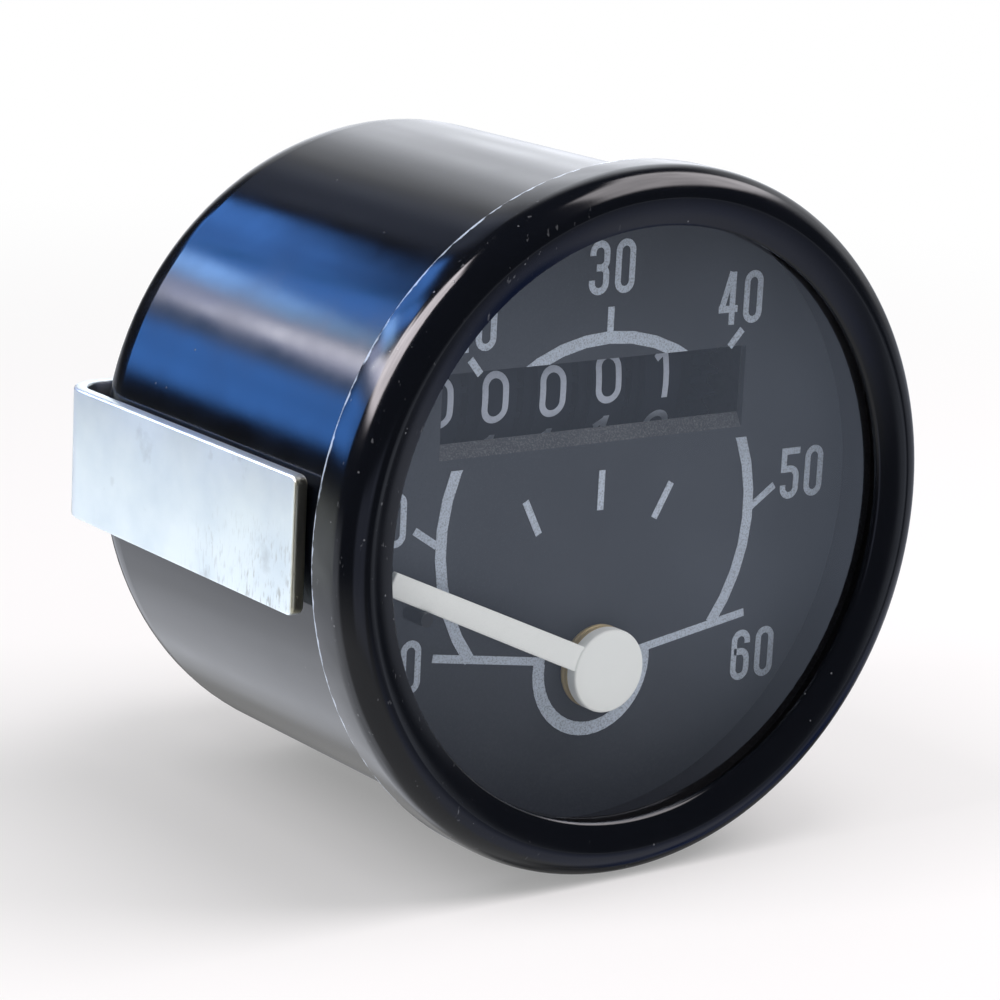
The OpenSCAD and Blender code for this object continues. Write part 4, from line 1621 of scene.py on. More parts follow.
    def ring_stretch(
        self,
        name: str,
        start: float,
        sweep: float,
        keep_above: float | None = None,
        keep_below: float | None = None,
    ) -> Piece:
        """Draws a stretch of the scale's ring and trims it level.

        Args:
            name: Name of the stretch.
            start: First angle in degrees.
            sweep: Angle that it covers.
            keep_above: Height below which it is cut off.
            keep_below: Height above which it is cut off.

        Returns:
            The stretch.
        """
        arc = Stroke.arc(self.ring_centre, self.ring_r, start, sweep)
        stretch = Pen(name, self.ring_w, self.ink_y).draw([arc])
        with Bench.editing(stretch):
            bpy.ops.mesh.select_all(action="SELECT")
            if keep_above is not None:
                bpy.ops.mesh.bisect(plane_co=(0, 0, keep_above), plane_no=(0, 0, 1), clear_inner=True)
            if keep_below is not None:
                bpy.ops.mesh.bisect(plane_co=(0, 0, keep_below), plane_no=(0, 0, 1), clear_outer=True)
        return stretch

    def marks(self) -> Piece:
        """Draws the ticks and the end lines of the scale.

        Returns:
            The marks as one piece.
        """
        long_pen = Pen("end_lines", self.line_w, self.ink_y - self.line_lift)
        lines = long_pen.draw(self.lines_of(self.end_lines))
        short_pen = Pen("ticks", self.tick_w, self.ink_y - self.tick_lift)
        return Bench.join([lines, short_pen.draw(self.lines_of(self.ticks))])

    @staticmethod
    def lines_of(pairs: tuple[tuple[Point, Point], ...]) -> list[Stroke]:
        """Gives straight strokes between points in millimetres."""
        return [Stroke.line((a[0] * MM, a[1] * MM), (b[0] * MM, b[1] * MM)) for a, b in pairs]

    def cup(self) -> Piece:
        """Draws the open bow under the hub."""
        bow = Pen("hub_bow", self.cup_w, self.ink_y - self.cup_lift)
        return bow.draw([Stroke.arc(self.cup_centre, self.cup_r, *self.cup_arc)])

    def place_numbers(self) -> list[Piece]:
        """Draws the numbers of the scale.

        Returns:
            One piece per number.
        """
        pieces = []
        for text, x, z in self.numbers:
            strokes = []
            for index, digit in enumerate(text):
                left = x * MM + index * (self.figures.width + self.figure_gap)
                strokes += [s.moved(left, z * MM) for s in self.figures.strokes(int(digit))]
            pieces.append(Pen("number_" + text, self.figures.stroke, self.ink_y).draw(strokes))
        return pieces


@dataclass
class SpeedHand:
    """Pointer with its hub, and the collar behind it.

    Attributes:
        finishes: The finishes.
        length: Length of the arm from the axis.
        root_w: Width of the arm at the axis.
        tip_w: Width of the arm at its tip.
        tip_corner: Bevel of the tip's corners.
        arm_edge: Rounding of the arm's edges.
        rest: Angle of the arm above the left, in degrees.
        hub_r: Radius of the hub and the collar.
        hub_dome: Rise of the hub's face.
        hub_edge: Rounding of the hub's front edge.
        arm_t: Thickness of the arm.
        arm_lift: Distance of the arm's back from the hub's back.
        arm_sunk: Depth of the arm's root below the hub's face.
        bore: Radius of the collar's bore.
        groove: Depth of the collar's groove.
        collar_edge: Rounding of the collar's front edge.
        collar_rear_edge: Rounding of its rear edge.
    """

    finishes: Finishes
    length: float = 20.6 * MM
    root_w: float = 1.9 * MM
    tip_w: float = 1.7 * MM
    tip_corner: float = 0.12 * MM
    arm_edge: float = 0.09 * MM
    rest: float = 24.5
    hub_r: float = 3.05 * MM
    hub_dome: float = 0.04 * MM
    hub_edge: float = 0.16 * MM
    arm_t: float = 0.5 * MM
    arm_lift: float = 0.05 * MM
    arm_sunk: float = 0.1 * MM
    bore: float = 0.5 * MM
    groove: float = 0.12 * MM
    collar_edge: float = 0.05 * MM
    collar_rear_edge: float = 0.12 * MM

    def build(self) -> None:
        """Makes the pointer and its collar."""
        pivot_z = middle("pointer_spindle").z
        low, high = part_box("pointer")
        section = [
            Corner(0, low.y),
            Corner(0.7 * self.hub_r, low.y + 0.4 * self.hub_dome),
            Corner(self.hub_r, low.y + self.hub_dome, self.hub_edge),
            Corner(self.hub_r, high.y, self.hub_edge / 2),
            Corner(0, high.y),
        ]
        hub = Bench.turn("speed_hand", section, (0, pivot_z), closed=False)
        Bench.carve(hub, self.make_arm(pivot_z, low.y, high.y - self.arm_lift), Carving.ADD)
        Bench.smooth(hub, 35)
        self.finishes.dress(hub, Slot.POINTER_WHITE)
        seat(hub, Body.POINTER.value, "pointer")
        self.make_collar(pivot_z)

    def make_arm(self, pivot_z: float, hub_front: float, back: float) -> Piece:
        """Makes the arm, which rises to the hub's face at its root, in its rest place.

        Args:
            pivot_z: Height of the pointer's axis.
            hub_front: Depth of the hub's face.
            back: Depth of the arm's back.

        Returns:
            The arm.
        """
        front = back - self.arm_t
        arm = Bench.block(
            "arm",
            Vector((-self.length, front, pivot_z - self.root_w / 2)),
            Vector((0, back, pivot_z + self.root_w / 2)),
        )
        with Bench.editing(arm):
            Bench.pick_points(arm, lambda co: co.x < -self.length / 2)
            narrower = self.tip_w / self.root_w
            bpy.ops.transform.resize(value=(1, 1, narrower), center_override=(0, 0, pivot_z))
            Bench.pick_points(arm, lambda co: co.x > -MICRON and co.y < back - self.arm_t / 2)
            bpy.ops.transform.translate(value=(0, hub_front + self.arm_sunk - front, 0))
        with Bench.editing(arm):
            bpy.ops.mesh.select_mode(type="EDGE")
            mesh = bmesh.from_edit_mesh(arm.data)
            for edge in mesh.edges:
                tip = all(v.co.x < -self.length / 2 for v in edge.verts)
                edge.select_set(tip and abs(edge.verts[0].co.y - edge.verts[1].co.y) > MICRON)
            bmesh.update_edit_mesh(arm.data)
            bpy.ops.mesh.bevel(affect="EDGES", offset=self.tip_corner, segments=2, profile=0.5)
        Bench.soften(arm, self.arm_edge, 3, 40)
        turn = Matrix.Translation((0, 0, pivot_z)) @ Matrix.Rotation(math.radians(self.rest), 4, "Y")
        arm.matrix_world = turn @ Matrix.Translation((0, 0, -pivot_z))
        Bench.settle(arm)
        return arm

    def make_collar(self, pivot_z: float) -> None:
        """Turns the brass collar with a groove round its middle.

        Args:
            pivot_z: Height of the pointer's axis.
        """
        low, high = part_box("pointer_collar")
        groove_y = (low.y + high.y) / 2
        section = [
            Corner(self.bore, low.y),
            Corner(self.hub_r, low.y, self.collar_edge),
            Corner(self.hub_r, groove_y - self.groove),
            Corner(self.hub_r - self.groove, groove_y),
            Corner(self.hub_r, groove_y + self.groove),
            Corner(self.hub_r, high.y, self.collar_rear_edge),
            Corner(self.bore, high.y),
        ]
        collar = Bench.turn("hand_collar", section, (0, pivot_z))
        Bench.smooth(collar, 35)
        self.finishes.dress(collar, Slot.BRASS)
        seat(collar, Body.POINTER.value, "pointer_collar")


@dataclass
class Counter:
    """Printed figures on the five number drums.

    Attributes:
        finishes: The finishes.
        axis: Middle of the units drum.
        radius: Radius of a drum.
        pitch: Distance from drum to drum.
        figures: The figures.
        ink: Thickness of the print.
        shown: Figure that each drum shows at rest, from the right.
        rolled: Angle by which each drum's figures sit below the middle, in degrees.
        aside: Distance of each drum's figures from the drum's middle.
    """

    finishes: Finishes
    axis: Vector = field(default_factory=lambda: middle("drum_units"))
    radius: float = field(default_factory=lambda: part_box("drum_units")[1].z - middle("drum_units").z)
    pitch: float = field(default_factory=lambda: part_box("drum_units")[0].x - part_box("drum_tens")[0].x)
    figures: Figures = Figures(2.25 * MM, 3.7 * MM, 0.5 * MM)
    ink: float = 0.02 * MM
    shown: tuple[int, ...] = (1, 0, 0, 0, 0)
    rolled: tuple[float, ...] = (4.4, 4.4, 0.0, 0.0, 0.0)
    aside: tuple[float, ...] = (0.17 * MM, -0.03 * MM, -0.15 * MM, -0.35 * MM, -0.28 * MM)

    def build(self) -> None:
        """Models the ten figures once and copies them round every drum."""
        patterns = [self.bend_figure(digit) for digit in range(10)]
        for place, drum in enumerate(Drum):
            self.print_drum(place, drum, patterns)
        for pattern in patterns:
            bpy.data.objects.remove(pattern)

    def bend_figure(self, digit: int) -> Piece:
        """Draws a figure and bends it round the drum's front.

        Args:
            digit: The figure.

        Returns:
            The bent figure, with its middle in the plane X = 0.
        """
        left, foot = -self.figures.width / 2, self.axis.z - self.figures.height / 2
        flat = [stroke.moved(left, foot) for stroke in self.figures.strokes(digit)]
        piece = Pen(f"figure_{digit}", self.figures.stroke, self.axis.y - self.radius - MM).draw(flat)
        with Bench.editing(piece):
            bpy.ops.mesh.select_all(action="SELECT")
            bpy.ops.mesh.remove_doubles(threshold=MICRON)
            bpy.ops.mesh.subdivide(number_cuts=3)
        bpy.ops.object.select_all(action="DESELECT")
        bpy.ops.mesh.primitive_cylinder_add(
            vertices=360,
            radius=self.radius + 0.55 * self.ink,
            depth=4 * self.figures.width,
            location=(0, self.axis.y, self.axis.z),
            rotation=(0, math.pi / 2, 0),
        )
        form = bpy.context.object
        Bench.apply(
            piece,
            "SHRINKWRAP",
            target=form,
            wrap_method="PROJECT",
            use_project_y=True,
            use_positive_direction=True,
            use_negative_direction=False,
        )
        bpy.data.objects.remove(form)
        Bench.thicken(piece, self.ink)
        return piece

    def print_drum(self, place: int, drum: Drum, patterns: list[Piece]) -> None:
        """Copies the ten figures round one drum.

        Args:
            place: Number of the drum from the right.
            drum: The drum.
            patterns: The ten bent figures.
        """
        centre_x = self.axis.x - place * self.pitch + self.aside[place]
        to_drum = Matrix.Translation((centre_x, self.axis.y, self.axis.z))
        to_axis = Matrix.Translation((0, -self.axis.y, -self.axis.z))
        figure_angle = 360 / len(patterns)
        copies = []
        for digit, pattern in enumerate(patterns):
            twin = Bench.copy(pattern, f"{drum.value}_{digit}")
            angle = math.radians(figure_angle * (digit - self.shown[place]) - self.rolled[place])
            twin.matrix_world = to_drum @ Matrix.Rotation(angle, 4, "X") @ to_axis
            Bench.settle(twin)
            copies.append(twin)
        ring = Bench.join(copies)
        ring.name = "figures_" + drum.value
        Bench.smooth(ring, 30)
        self.finishes.dress(ring, Slot.DRUM_BLACK, self.finishes.figure_ink)
        seat(ring, drum.value)


@dataclass
class Stirrup:
    """Bent strip that clamps the instrument in its panel.

    Attributes:
        finishes: The finishes.
        thickness: Thickness of the strip.
        bend: Outer radius of its bends.
        corner: Rounding of the feet's corners.
        edge: Rounding of the strip's edges.
        stud_r: Radius of the studs that pass it.
        stud_play: Clearance round a stud.
    """

    finishes: Finishes
    thickness: float = 1.0 * MM
    bend: float = 3.0 * MM
    corner: float = 0.7 * MM
    edge: float = 0.2 * MM
    stud_r: float = 2.0 * MM
    stud_play: float = 0.1 * MM

    def build(self) -> None:
        """Bends the strip, rounds its corners and drills it for the studs."""
        low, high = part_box("bracket")
        half_t = self.thickness / 2
        radius = self.bend - half_t
        leg_x, bar_y = high.x - half_t, high.y - half_t
        straight = bar_y - radius - low.y
        width = high.z - low.z
        strip = Bench.blank("stirrup")
        with Bench.editing(strip):
            bpy.ops.mesh.primitive_plane_add(size=width, rotation=(0, math.pi / 2, 0))
            Bench.pick_points(strip, lambda co: co.y < 0)
            bpy.ops.mesh.delete(type="VERT")
            bpy.ops.mesh.select_all(action="SELECT")
            bpy.ops.transform.translate(value=(-leg_x, low.y - width / 2, 0))
            self.extrude(0, straight)
            self.swing(Vector((radius - leg_x, bar_y - radius, 0)))
            self.extrude(2 * (leg_x - radius), 0)
            self.swing(Vector((leg_x - radius, bar_y - radius, 0)))
            self.extrude(0, -straight)
            Bench.pick_points(strip, lambda co: co.y < low.y + MICRON)
            bpy.ops.mesh.bevel(affect="VERTICES", offset=self.corner, segments=5, profile=0.5)
        Bench.apply(strip, "SOLIDIFY", thickness=self.thickness, offset=0.0, use_even_offset=True)
        with Bench.editing(strip):
            Bench.tidy()
        past = 2.0 * MM
        for side in (-1, 1):
            pivot = (side * (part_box("mounting_studs")[1].x - self.stud_r), 0)
            drill = Bench.rod(self.stud_r + self.stud_play, bar_y - past, bar_y + past, pivot)
            Bench.carve(strip, drill, Carving.CUT)
        Bench.soften(strip, self.edge, 3, 40)
        Bench.smooth(strip, 35)
        self.finishes.dress(strip, Slot.ZINC_PLATE)
        seat(strip, Body.HOUSING.value, "bracket")

    @staticmethod
    def extrude(x: float, y: float) -> None:
        """Pulls the strip's open end straight ahead."""
        bpy.ops.mesh.extrude_edges_move(TRANSFORM_OT_translate={"value": (x, y, 0)})

    @staticmethod
    def swing(centre: Vector) -> None:
        """Bends the strip's open end by a right angle, clockwise from above."""
        bpy.ops.mesh.spin(steps=12, angle=math.pi / 2, center=centre, axis=(0, 0, 1))


@dataclass
class RearFittings:
    """Cable neck, studs, nuts, washers and screws on the can's rear.

    Attributes:
        finishes: The finishes.
        rear: Depth of the can's rear.
        neck_r: Outer radius of the cable neck.
        neck_pitch: Pitch of its thread.
        neck_land: Length of the plain land in front of the thread.
        spigot_r: Radius of the neck inside the can.
        ferrule_r: Radius of the bore for the ferrule.
        bush_r: Radius of the bore for the drive bush.
        overlap: Depth by which two joined solids reach into each other.
        edge: Rounding of the neck's and the screws' edges.
        stud_r: Outer radius of the studs.
        stud_pitch: Pitch of their thread.
        nut_half: Half the width of a nut across its flats.
        nut_chamfer: Chamfer of a nut's corners.
        nut_edge: Rounding of a nut's edges.
        washer_play: Clearance of a washer round its stud.
        washer_bore_edge: Rounding of a washer's inner edges.
        washer_edge: Rounding of a washer's outer edges.
        washer_split: Half the gap in a washer.
        head_r: Radius of a case screw's head.
        head_foot_edge: Rounding of the head's edge on the can.
        head_edge: Rounding of the head's rear edge.
        head_fall: Fall of the head from the middle to the rim.
        shank_r: Radius of its shank.
        slot_half: Half the width of its slot.
    """

    finishes: Finishes
    rear: float = field(default_factory=lambda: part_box("case")[1].y)
    neck_r: float = 5.0 * MM
    neck_pitch: float = 1.0 * MM
    neck_land: float = 0.9 * MM
    spigot_r: float = 4.2 * MM
    ferrule_r: float = 3.0 * MM
    bush_r: float = 2.7 * MM
    overlap: float = 0.02 * MM
    edge: float = 0.2 * MM
    stud_r: float = 2.0 * MM
    stud_pitch: float = 0.7 * MM
    nut_half: float = 3.5 * MM
    nut_chamfer: float = 0.5 * MM
    nut_edge: float = 0.08 * MM
    washer_play: float = 0.1 * MM
    washer_bore_edge: float = 0.1 * MM
    washer_edge: float = 0.15 * MM
    washer_split: float = 0.3 * MM
    head_r: float = 2.85 * MM
    head_foot_edge: float = 0.06 * MM
    head_edge: float = 0.5 * MM
    head_fall: float = 0.15 * MM
    shank_r: float = 1.5 * MM
    slot_half: float = 0.4 * MM

    def build(self) -> None:
        """Makes every fitting."""
        self.make_neck()
        self.make_studs()
        self.make_nuts()
        self.make_washers()
        self.make_screws()

    @property
    def stud_x(self) -> float:
        """Distance of a stud from the middle."""
        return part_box("mounting_studs")[1].x - self.stud_r

    def dress(self, piece: Piece, node: str) -> None:
        """Plates a fitting and seats it on the can.

        Args:
            piece: The fitting.
            node: Solid that it stands for.
        """
        Bench.smooth(piece, 30)
        self.finishes.dress(piece, Slot.PLATED_STEEL)
        seat(piece, Body.HOUSING.value, node)

    def dress_pair(self, right: Piece, x: float, node: str) -> None:
        """Copies a fitting to the left side and dresses both as one piece.

        Args:
            right: The fitting on the right.
            x: Its distance from the middle.
            node: Solid that the pair stands for.
        """
        left_name = right.name.replace("right", "left")
        left = Bench.shift(Bench.copy(right, left_name), Vector((-2 * x, 0, 0)))
        self.dress(Bench.join([right, left]), node)

    def make_neck(self) -> None:
        """Threads the cable neck and turns its plain sleeve, with the bores for bush and ferrule."""
        low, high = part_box("cable_neck")
        pivot = (0.0, middle("cable_neck").z)
        floor_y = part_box("drive_bush")[1].y
        land_y = self.rear + self.neck_land
        neck = Bench.lathe_thread("neck_thread", self.neck_r, self.neck_pitch, land_y, high.y, pivot)
        drill = Bench.rod(self.ferrule_r, self.rear, high.y + MM, pivot, 72)
        Bench.carve(neck, drill, Carving.CUT)
        section = [
            Corner(self.bush_r, low.y),
            Corner(self.spigot_r, low.y, self.edge),
            Corner(self.spigot_r, self.rear),
            Corner(self.neck_r, self.rear),
            Corner(self.neck_r, land_y + self.overlap, self.edge),
            Corner(self.ferrule_r + self.overlap, land_y + self.overlap),
            Corner(self.ferrule_r + self.overlap, floor_y),
            Corner(self.bush_r, floor_y),
        ]
        sleeve = Bench.turn("cable_neck_sleeve", section, pivot)
        self.dress(Bench.join([sleeve, neck]), "cable_neck")

    def make_studs(self) -> None:
        """Threads one stud and copies it to the other side."""
        low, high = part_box("mounting_studs")
        pivot = (self.stud_x, 0.0)
        stud = Bench.lathe_thread("stud_right", self.stud_r, self.stud_pitch, low.y, high.y, pivot)
        self.dress_pair(stud, self.stud_x, "mounting_studs")

    def make_nuts(self) -> None:
        """Makes one hexagon nut with chamfered corners and copies it."""
        low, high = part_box("bracket_nuts")
        pivot = (self.stud_x, 0.0)
        corner_r = self.nut_half / math.cos(math.pi / 6)
        flat_r, outer_r = corner_r - self.nut_chamfer, corner_r + 0.1 * MM
        fall = 0.6 * self.nut_chamfer
        nut = Bench.rod(corner_r, low.y, high.y, pivot, 6)
        nut.name = "nut_right"
        section = [
            Corner(0, low.y - MICRON),
            Corner(flat_r, low.y - MICRON),
            Corner(outer_r, low.y + fall),
            Corner(outer_r, high.y - fall),
            Corner(flat_r, high.y + MICRON),
            Corner(0, high.y + MICRON),
        ]
        blank = Bench.turn("nut_blank", section, pivot, closed=False)
        Bench.carve(nut, blank, Carving.KEEP_COMMON)
        Bench.carve(nut, Bench.rod(self.stud_r, low.y - MM, high.y + MM, pivot), Carving.CUT)
        Bench.soften(nut, self.nut_edge, 2, 25)
        self.dress_pair(nut, self.stud_x, "bracket_nuts")

    def make_washers(self) -> None:
        """Makes one split spring washer and copies it."""
        low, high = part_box("spring_washers")
        x = self.stud_x
        inner_r, outer_r = self.stud_r + self.washer_play, high.x - x
        section = [
            Corner(inner_r, low.y, self.washer_bore_edge),
            Corner(outer_r, low.y, self.washer_edge),
            Corner(outer_r, high.y, self.washer_edge),
            Corner(inner_r, high.y, self.washer_bore_edge),
        ]
        washer = Bench.turn("washer_right", section, (x, 0.0))
        split = Bench.block(
            "split",
            Vector((x - self.washer_split, low.y - MM, 0)),
            Vector((x + self.washer_split, high.y + MM, high.z + MM)),
        )
        Bench.carve(washer, split, Carving.CUT)
        self.dress_pair(washer, x, "spring_washers")

    def make_screws(self) -> None:
        """Makes one slotted case screw and copies it."""
        low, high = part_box("case_screws")
        x, z = high.x - self.head_r, middle("case_screws").z
        section = [
            Corner(0, low.y),
            Corner(self.shank_r, low.y, self.edge),
            Corner(self.shank_r, self.rear),
            Corner(self.head_r, self.rear, self.head_foot_edge),
            Corner(self.head_r, high.y - self.head_fall, self.head_edge),
            Corner(0, high.y),
        ]
        screw = Bench.turn("case_screw_right", section, (x, z), 64, closed=False)
        slot = Bench.block(
            "slot",
            Vector((x - 2 * self.head_r, (self.rear + high.y) / 2, z - self.slot_half)),
            Vector((x + 2 * self.head_r, high.y + MM, z + self.slot_half)),
        )
        Bench.carve(screw, slot, Carving.CUT)
        self.dress_pair(screw, x, "case_screws")


@dataclass(frozen=True)
class Lamp:
    """Soft lamp that faces the instrument.

    Attributes:
        name: Name of the lamp.
        azimuth: Direction in degrees; 0 is the rear, and positive is to the right.
        elevation: Height above the horizon in degrees.
        distance: Distance from the instrument.
        width: Width in metres.
        height: Height in metres.
        glow: Brightness.
        spread: Number of its areas that the renderer spreads a lamp's power over.
    """

    name: str
    azimuth: float
    elevation: float
    distance: float
    width: float
    height: float
    glow: Colour
    spread: float = 4.0

    def build(self) -> None:
        """Hangs the lamp."""
        a, e = math.radians(self.azimuth), math.radians(self.elevation)
        away = Vector((math.sin(a) * math.cos(e), math.cos(a) * math.cos(e), math.sin(e)))
        data = bpy.data.lights.new(self.name, "AREA")
        data.shape = "RECTANGLE"
        data.size, data.size_y = self.width, self.height
        peak = max(self.glow)
        data.color = [value / peak for value in self.glow]
        data.energy = self.spread * self.width * self.height * peak
        lamp = bpy.data.objects.new(self.name, data)
        bpy.context.scene.collection.objects.link(lamp)
        turn = away.to_track_quat("Z", "Y").to_matrix().to_4x4()
        lamp.matrix_world = Matrix.Translation(away * self.distance) @ turn
        lamp.visible_camera = False
        lamp.visible_glossy = False


@dataclass(frozen=True)
class Window:
    """Soft-edged patch of the surroundings that gloss and metal mirror.

    Attributes:
        azimuth: Direction of its middle in degrees; 0 is the rear, and positive is to the right.
        elevation: Height of its middle above the horizon in degrees.
        half_width: Half its width in degrees.
        half_height: Half its height in degrees.
        soft: Width of its fading edge in degrees.
        glow: Brightness that it adds.
    """

    azimuth: float
    elevation: float
    half_width: float
    half_height: float
    soft: float
    glow: Colour


@dataclass
class Dome:
    """Dim dome round the studio with bright windows, which only reflections show.

    Attributes:
        radius: Radius of the dome.
        level: Brightness above and below the horizon.
        horizon: Elevations in degrees between which the one fades into the other.
        unevenness: Range of the factor that mottles the windows.
        floor_level: Least brightness, which dark windows can't go below.
        windows: Bright windows, and dark ones that take light away.
    """

    radius: float = 1.4
    level: tuple[float, float] = (0.03, 0.52)
    horizon: tuple[float, float] = (-16.0, -34.0)
    unevenness: tuple[float, float] = (0.72, 1.28)
    floor_level: Colour = (0.01, 0.01, 0.01)
    windows: tuple[Window, ...] = (
        Window(-66, 44.5, 23, 21.5, 6, (12.2, 11.3, 11.8)),
        Window(-36.5, 31, 6.5, 8.5, 5, (9.4, 8.8, 9.2)),
        Window(-30, 22.6, 9, 2.2, 3, (2.7, 3.0, 4.5)),
        Window(-13.5, 29.5, 10.5, 5, 3, (0.42, 1.38, 4.2)),
        Window(-16.4, 31, 0.9, 3, 1.4, (-0.24, -0.60, -1.9)),
        Window(-15, 34.2, 2.5, 1.6, 1.2, (-0.2, -0.6, -1.8)),
        Window(-10.5, 30.3, 4, 1.2, 1, (-0.12, -0.40, -1.2)),
        Window(-22, 26.3, 5, 1.7, 2, (2.1, 3.6, 5.9)),
        Window(-28.1, 22.8, 1.4, 1.8, 1.6, (4.4, 4.2, 3.8)),
        Window(7, 34.5, 7, 4, 6, (0.18, 0.21, 0.30)),
        Window(-31, 18.5, 6, 2, 3, (0.35, 0.6, 1.2)),
        Window(-33, 11.2, 6, 5.3, 4, (0.40, 1.45, 4.5)),
        Window(36, 24, 16, 28, 28, (1.60, 1.65, 1.76)),
        Window(82, 20, 22, 16, 20, (0.72, 0.73, 0.76)),
        Window(116.5, 47, 33, 19, 8, (4.7, 4.45, 4.6)),
        Window(-33, -36, 45, 30, 14, (0.78, 0.82, 0.92)),
        Window(75, -48, 42, 22, 14, (-0.36, -0.36, -0.36)),
        Window(75, -12, 42, 12, 12, (0.32, 0.34, 0.40)),
        Window(-36.5, -11, 14, 9, 8, (0.25, 0.27, 0.20)),
        Window(-156, -14, 20, 14, 10, (0.30, 0.33, 0.46)),
        Window(130, -40, 40, 18, 12, (-0.05, -0.02, 0.12)),
        Window(143, -12.8, 15, 4.5, 6, (0.52, 0.56, 0.66)),
    )

    def build(self) -> None:
        """Hangs the dome."""
        bpy.ops.object.select_all(action="DESELECT")
        bpy.ops.mesh.primitive_uv_sphere_add(segments=64, ring_count=32, radius=self.radius)
        dome = bpy.context.object
        dome.name = "dome"
        dome.data.materials.append(self.paint())
        dome.visible_camera = False
        dome.visible_diffuse = False
        dome.visible_transmission = False
        dome.visible_shadow = False

    def paint(self) -> Material:
        """Paints the windows on the dome.

        Returns:
            The glowing material.
        """
        material = bpy.data.materials.new("dome")
        material.use_nodes = True
        material.cycles.emission_sampling = "NONE"
        graph = Graph(material.node_tree)
        graph.nodes.remove(graph.nodes["Principled BSDF"])
        parts = graph.nodes.new("ShaderNodeSeparateXYZ")
        ahead = graph.vector("NORMALIZE", graph.coordinates).outputs["Vector"]
        graph.links.new(ahead, parts.inputs["Vector"])
        degrees = 360 / TAU
        azimuth = graph.math("ARCTAN2", parts.outputs["X"], parts.outputs["Y"])
        elevation = graph.math("ARCSINE", parts.outputs["Z"])
        place = (graph.math("MULTIPLY", azimuth, degrees), graph.math("MULTIPLY", elevation, degrees))
        light = graph.scaled((1.0, 1.0, 1.0), graph.ramp(place[1], *self.horizon, *self.level))
        mottle = graph.ramp(graph.noise(0.12 * self.radius, 3), 0.25, 0.75, *self.unevenness)
        for window in self.windows:
            light = graph.vector("ADD", light, self.shine(graph, window, place, mottle)).outputs["Vector"]
        light = graph.vector("MAXIMUM", light, self.floor_level).outputs["Vector"]
        glow = graph.nodes.new("ShaderNodeEmission")
        graph.links.new(light, glow.inputs["Color"])
        graph.links.new(graph.unscattered(), glow.inputs["Strength"])
        graph.links.new(glow.outputs["Emission"], graph.nodes["Material Output"].inputs["Surface"])
        return material

    @staticmethod
    def shine(graph: Graph, window: Window, place: tuple[Socket, Socket], mottle: Socket) -> Socket:
        """Works out the light of one window.

        Args:
            graph: The graph that paints the dome.
            window: The window.
            place: Azimuth and elevation in degrees.
            mottle: Unevenness of the light.

        Returns:
            The light as a colour.
        """
        inside = mottle
        for angle, centre, half in (
            (place[0], window.azimuth, window.half_width),
            (place[1], window.elevation, window.half_height),
        ):
            off = graph.math("ABSOLUTE", graph.math("SUBTRACT", angle, centre))
            share = graph.ramp(off, half + window.soft / 2, half - window.soft / 2)
            share.node.interpolation_type = "SMOOTHSTEP"
            inside = graph.math("MULTIPLY", inside, share)
        return graph.scaled(window.glow, inside)


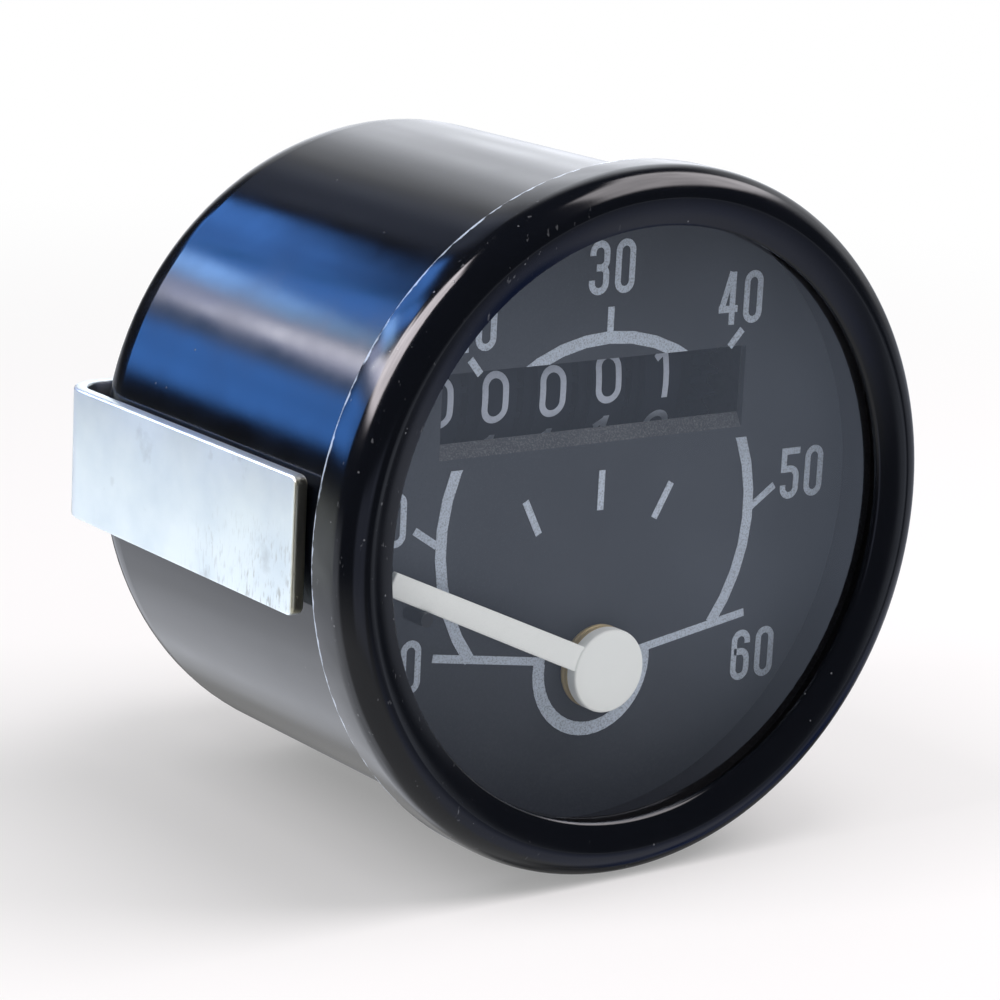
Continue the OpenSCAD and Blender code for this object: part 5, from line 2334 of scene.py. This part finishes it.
@dataclass
class Studio:
    """Camera, floor, lamps, dome and background.

    Attributes:
        eye: Place of the camera.
        right: Direction of the picture's right side.
        up: Direction of the picture's top.
        lens: Focal length in millimetres.
        sensor: Width of the sensor in millimetres.
        floor_r: Radius of the floor.
        floor_gap: Distance of the floor below the instrument.
        floor_colour: Colour of the floor.
        fade: Distances from the middle between which the floor fades into the background.
        floor_glow: Share of the background in the floor's middle.
        ambient: Strength of the world's plain light.
        lamps: The lamps.
    """

    eye: Triple = (-152.051 * MM, -191.937 * MM, 61.134 * MM)
    right: Triple = (0.81005, -0.58432, 0.04889)
    up: Triple = (0.10172, 0.22214, 0.96969)
    lens: float = 129.39
    sensor: float = 36.0
    floor_r: float = 1.2
    floor_gap: float = 0.05 * MM
    floor_colour: Colour = (0.9, 0.9, 0.9)
    fade: tuple[float, float] = (0.10, 0.30)
    floor_glow: float = 0.3
    ambient: float = 0.42
    lamps: tuple[Lamp, ...] = (
        Lamp("key", 112, 51, 0.5, 0.35, 0.28, (3.3, 3.1, 3.15)),
        Lamp("overhead", 140, 80, 0.5, 0.30, 0.15, (3.2, 3.05, 3.1)),
        Lamp("left", -80, 50, 0.5, 0.16, 0.30, (4.2, 4.0, 4.1)),
    )

    def build(self) -> None:
        """Sets up the studio."""
        self.make_camera()
        self.make_floor()
        self.make_world()
        for lamp in self.lamps:
            lamp.build()
        Dome().build()
        bpy.context.scene.view_settings.view_transform = "Standard"

    def make_camera(self) -> None:
        """Puts the camera where the instrument is seen from the left, a little above."""
        data = bpy.data.cameras.new("camera")
        data.lens = self.lens
        data.sensor_width = self.sensor
        data.clip_start, data.clip_end = 0.01, 20
        camera = bpy.data.objects.new("camera", data)
        bpy.context.scene.collection.objects.link(camera)
        right, up = Vector(self.right), Vector(self.up)
        turn = Matrix((right, up, right.cross(up))).transposed()
        camera.matrix_world = Matrix.Translation(self.eye) @ turn.to_4x4()
        bpy.context.scene.camera = camera

    @staticmethod
    def background_rays(graph: Graph) -> Socket:
        """Gives 1 for rays that look at the background, straight or in a reflection.

        Args:
            graph: The graph that asks.

        Returns:
            The value, 0 or 1.
        """
        path = graph.nodes.new("ShaderNodeLightPath").outputs
        value = path["Is Camera Ray"]
        for name in ("Is Glossy Ray", "Is Transmission Ray"):
            value = graph.math("MAXIMUM", value, path[name])
        return graph.math("MULTIPLY", value, graph.unscattered())

    def make_floor(self) -> None:
        """Lays a pale floor that fades into the white background and keeps the shadow."""
        bpy.ops.object.select_all(action="DESELECT")
        bpy.ops.mesh.primitive_circle_add(
            vertices=96,
            radius=self.floor_r,
            fill_type="NGON",
            location=(0, 0, CAD_BOX[0].z - self.floor_gap),
        )
        floor = bpy.context.object
        floor.name = "floor"
        Bench.settle(floor)
        material = bpy.data.materials.new("pale_floor")
        material.use_nodes = True
        graph = Graph(material.node_tree)
        graph.nodes.remove(graph.nodes["Principled BSDF"])
        matt = graph.nodes.new("ShaderNodeBsdfDiffuse")
        graph.feed(matt.inputs["Color"], self.floor_colour)
        glow = graph.nodes.new("ShaderNodeEmission")
        far = graph.ramp(graph.length(graph.coordinates), *self.fade, self.floor_glow)
        far.node.interpolation_type = "SMOOTHSTEP"
        graph.surface(matt, glow, graph.math("MULTIPLY", far, self.background_rays(graph)))
        floor.data.materials.append(material)
        floor.visible_glossy = False

    def make_world(self) -> None:
        """Makes a white background that lights the instrument at a plain level."""
        world = bpy.data.worlds.new("studio")
        bpy.context.scene.world = world
        world.use_nodes = True
        graph = Graph(world.node_tree)
        background = graph.nodes["Background"].inputs
        graph.feed(background["Color"], (1.0, 1.0, 1.0))
        graph.feed(background["Strength"], graph.ramp(self.background_rays(graph), 0, 1, self.ambient))


def main() -> None:
    """Builds the studio and dresses the instrument."""
    logging.basicConfig(level=logging.INFO, format="%(name)s: %(message)s")
    Studio().build()
    finishes = Finishes()
    for part in (Shells, DialPlate, SpeedHand, Counter, Stirrup, RearFittings):
        part(finishes).build()
    for name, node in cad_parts.items():
        if not node.hide_render:
            finishes.dress_node(node)
            log.info("%s keeps its solid", name)


if __name__ == "__main__":
    main()
